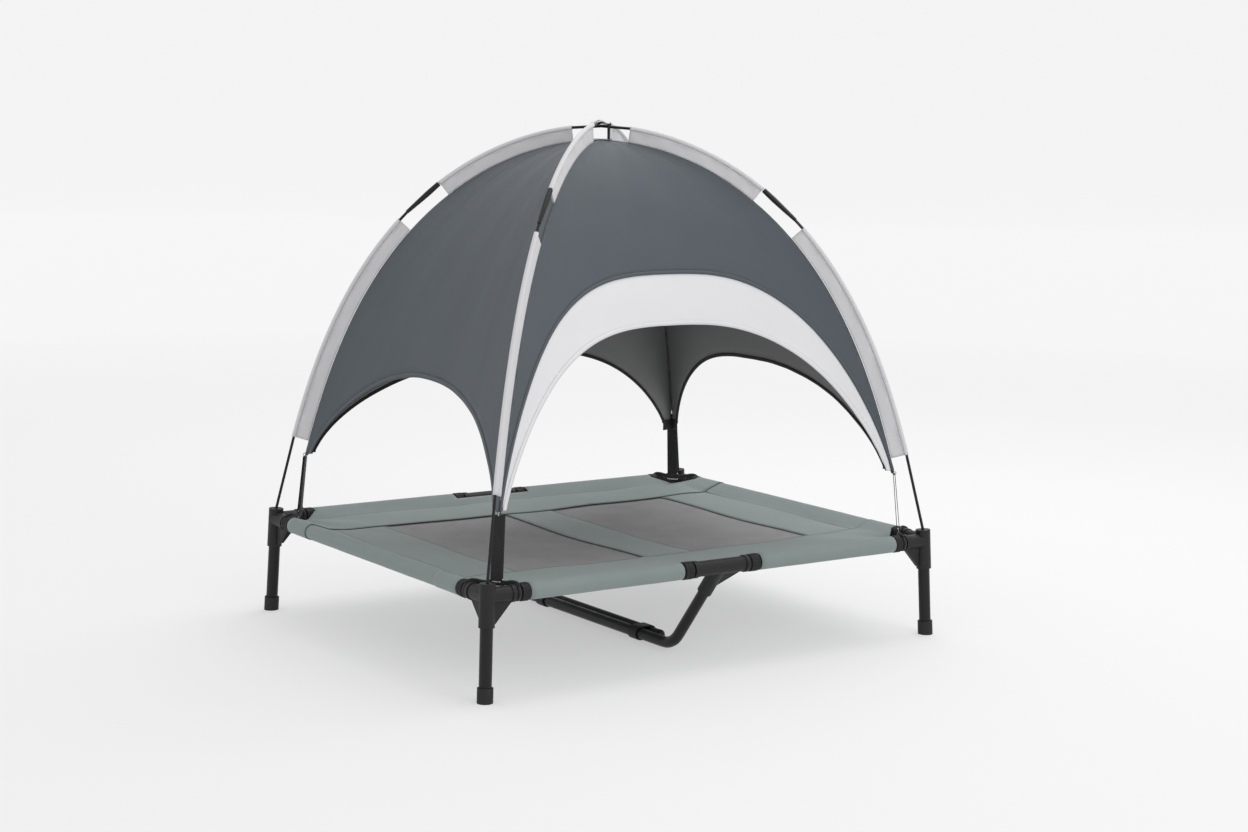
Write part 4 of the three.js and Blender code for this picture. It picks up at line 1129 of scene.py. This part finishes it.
strips, windows = bed()
LONG_FLAT, SHORT_FLAT = (1.06, 0.23), (0.594, 0.23)
STRIPS = {
    "front": (LONG_FLAT, ["front_rail_left", "front_rail_right"]),
    "back": (LONG_FLAT, ["back_rail_left", "back_rail_right"]),
    "left": (SHORT_FLAT, ["left_rail"]),
    "right": (SHORT_FLAT, ["right_rail"]),
    "middle": ((0.11, 0.47), ["bed_strip_front", "bed_strip_back"]),
}
stitch_rows = bed_stitching()
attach(stitch_rows, "frame")
for name, piece in strips.items():
    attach(piece, "frame")
    cloth_sheet(piece, *STRIPS[name])
for piece in windows:
    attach(piece, "frame")
    cloth_sheet(piece, (0.257, 0.462), ["bed_strip_middle"])

for corner_name in CORNERS:
    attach(corner_band(corner_name), "frame")
    for make in (strap, strap_hook, hook_sleeves, ring_tab):
        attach(make(corner_name), "canopy")
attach(tail_bindings(), "canopy")
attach(collars(), "frame")
for piece in crown():
    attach(piece, "canopy")


# ---- floor and light
# Colour of the paper near the object, its own glow there, and the extra glow far away.
FLOOR_TONE, FLOOR_GLOW, FAR_GLOW = 0.42, 0.44, 0.46
# Distances from the object between which the paper changes from lit to glowing.
FADE = (1.3, 5.0)
BACKDROP_NEAR, BACKDROP_BEND, BEND_R, BACKDROP_TOP, BACKDROP_HALF = -9.0, 12.0, 4.0, 12.0, 18.0


def backdrop():
    """Pale floor that curves up into a wall far behind the object."""
    ahead = np.array([gaze.x, gaze.y, 0.0])
    ahead /= np.linalg.norm(ahead)
    beside = np.array([ahead[1], -ahead[0], 0.0])
    profile = [(BACKDROP_NEAR, 0.0), (BACKDROP_BEND, 0.0)]
    for t in np.linspace(0, math.pi / 2, 20)[1:]:
        profile.append((BACKDROP_BEND + BEND_R * math.sin(t), BEND_R - BEND_R * math.cos(t)))
    profile.append((BACKDROP_BEND + BEND_R, BACKDROP_TOP))
    sides = (-BACKDROP_HALF, BACKDROP_HALF)
    points = np.array([[ahead * d + beside * w + UP * z for w in sides] for d, z in profile])
    tone = (FLOOR_TONE, FLOOR_TONE, FLOOR_TONE)
    pale = Look("studio_paper", tone, 0.9, specular=0.1)
    away = pale.node("ShaderNodeVectorMath", {"operation": "LENGTH"}, _0=pale.space).outputs["Value"]
    near = pale.between(away, 1.0, 0.0, FADE)
    grain = pale.between(pale.noise(3.0), 0.99, 1.0)
    extra = pale.math("MULTIPLY", pale.math("SUBTRACT", 1.0, near), FAR_GLOW)
    light = pale.math("ADD", FLOOR_GLOW, extra)
    pale.link(pale.mix(near, (0.0, 0.0, 0.0), tone), "Base Color")
    pale.set("Emission Color", (1.0, 1.0, 1.0, 1))
    pale.link(pale.math("MULTIPLY", light, grain), "Emission Strength")
    grid_object("studio_floor", points, [pale.material], points)


backdrop()
WORLD_LIGHT = 0.80
world = bpy.data.worlds.new("studio")
world.use_nodes = True
background = world.node_tree.nodes["Background"].inputs
background[0].default_value = (1.0, 1.0, 1.0, 1)
background[1].default_value = WORLD_LIGHT
bpy.context.scene.world = world


def softbox(name, place, aim, size, power):
    light = bpy.data.lights.new(name, "AREA")
    light.shape = "RECTANGLE"
    light.size, light.size_y = size
    light.energy = power
    made = add_object(name, light)
    made.location = place
    made.rotation_mode = "QUATERNION"
    made.rotation_quaternion = (Vector(aim) - Vector(place)).to_track_quat("-Z", "Y")


softbox("softbox_top", (1.5, 0.5, 3.1), (0, 0, 0.3), (2.8, 2.8), 48)
softbox("softbox_front", (0.6, -4.0, 2.4), (0, 0, 0.4), (2.2, 1.8), 30)
bpy.context.scene.view_settings.view_transform = "Standard"
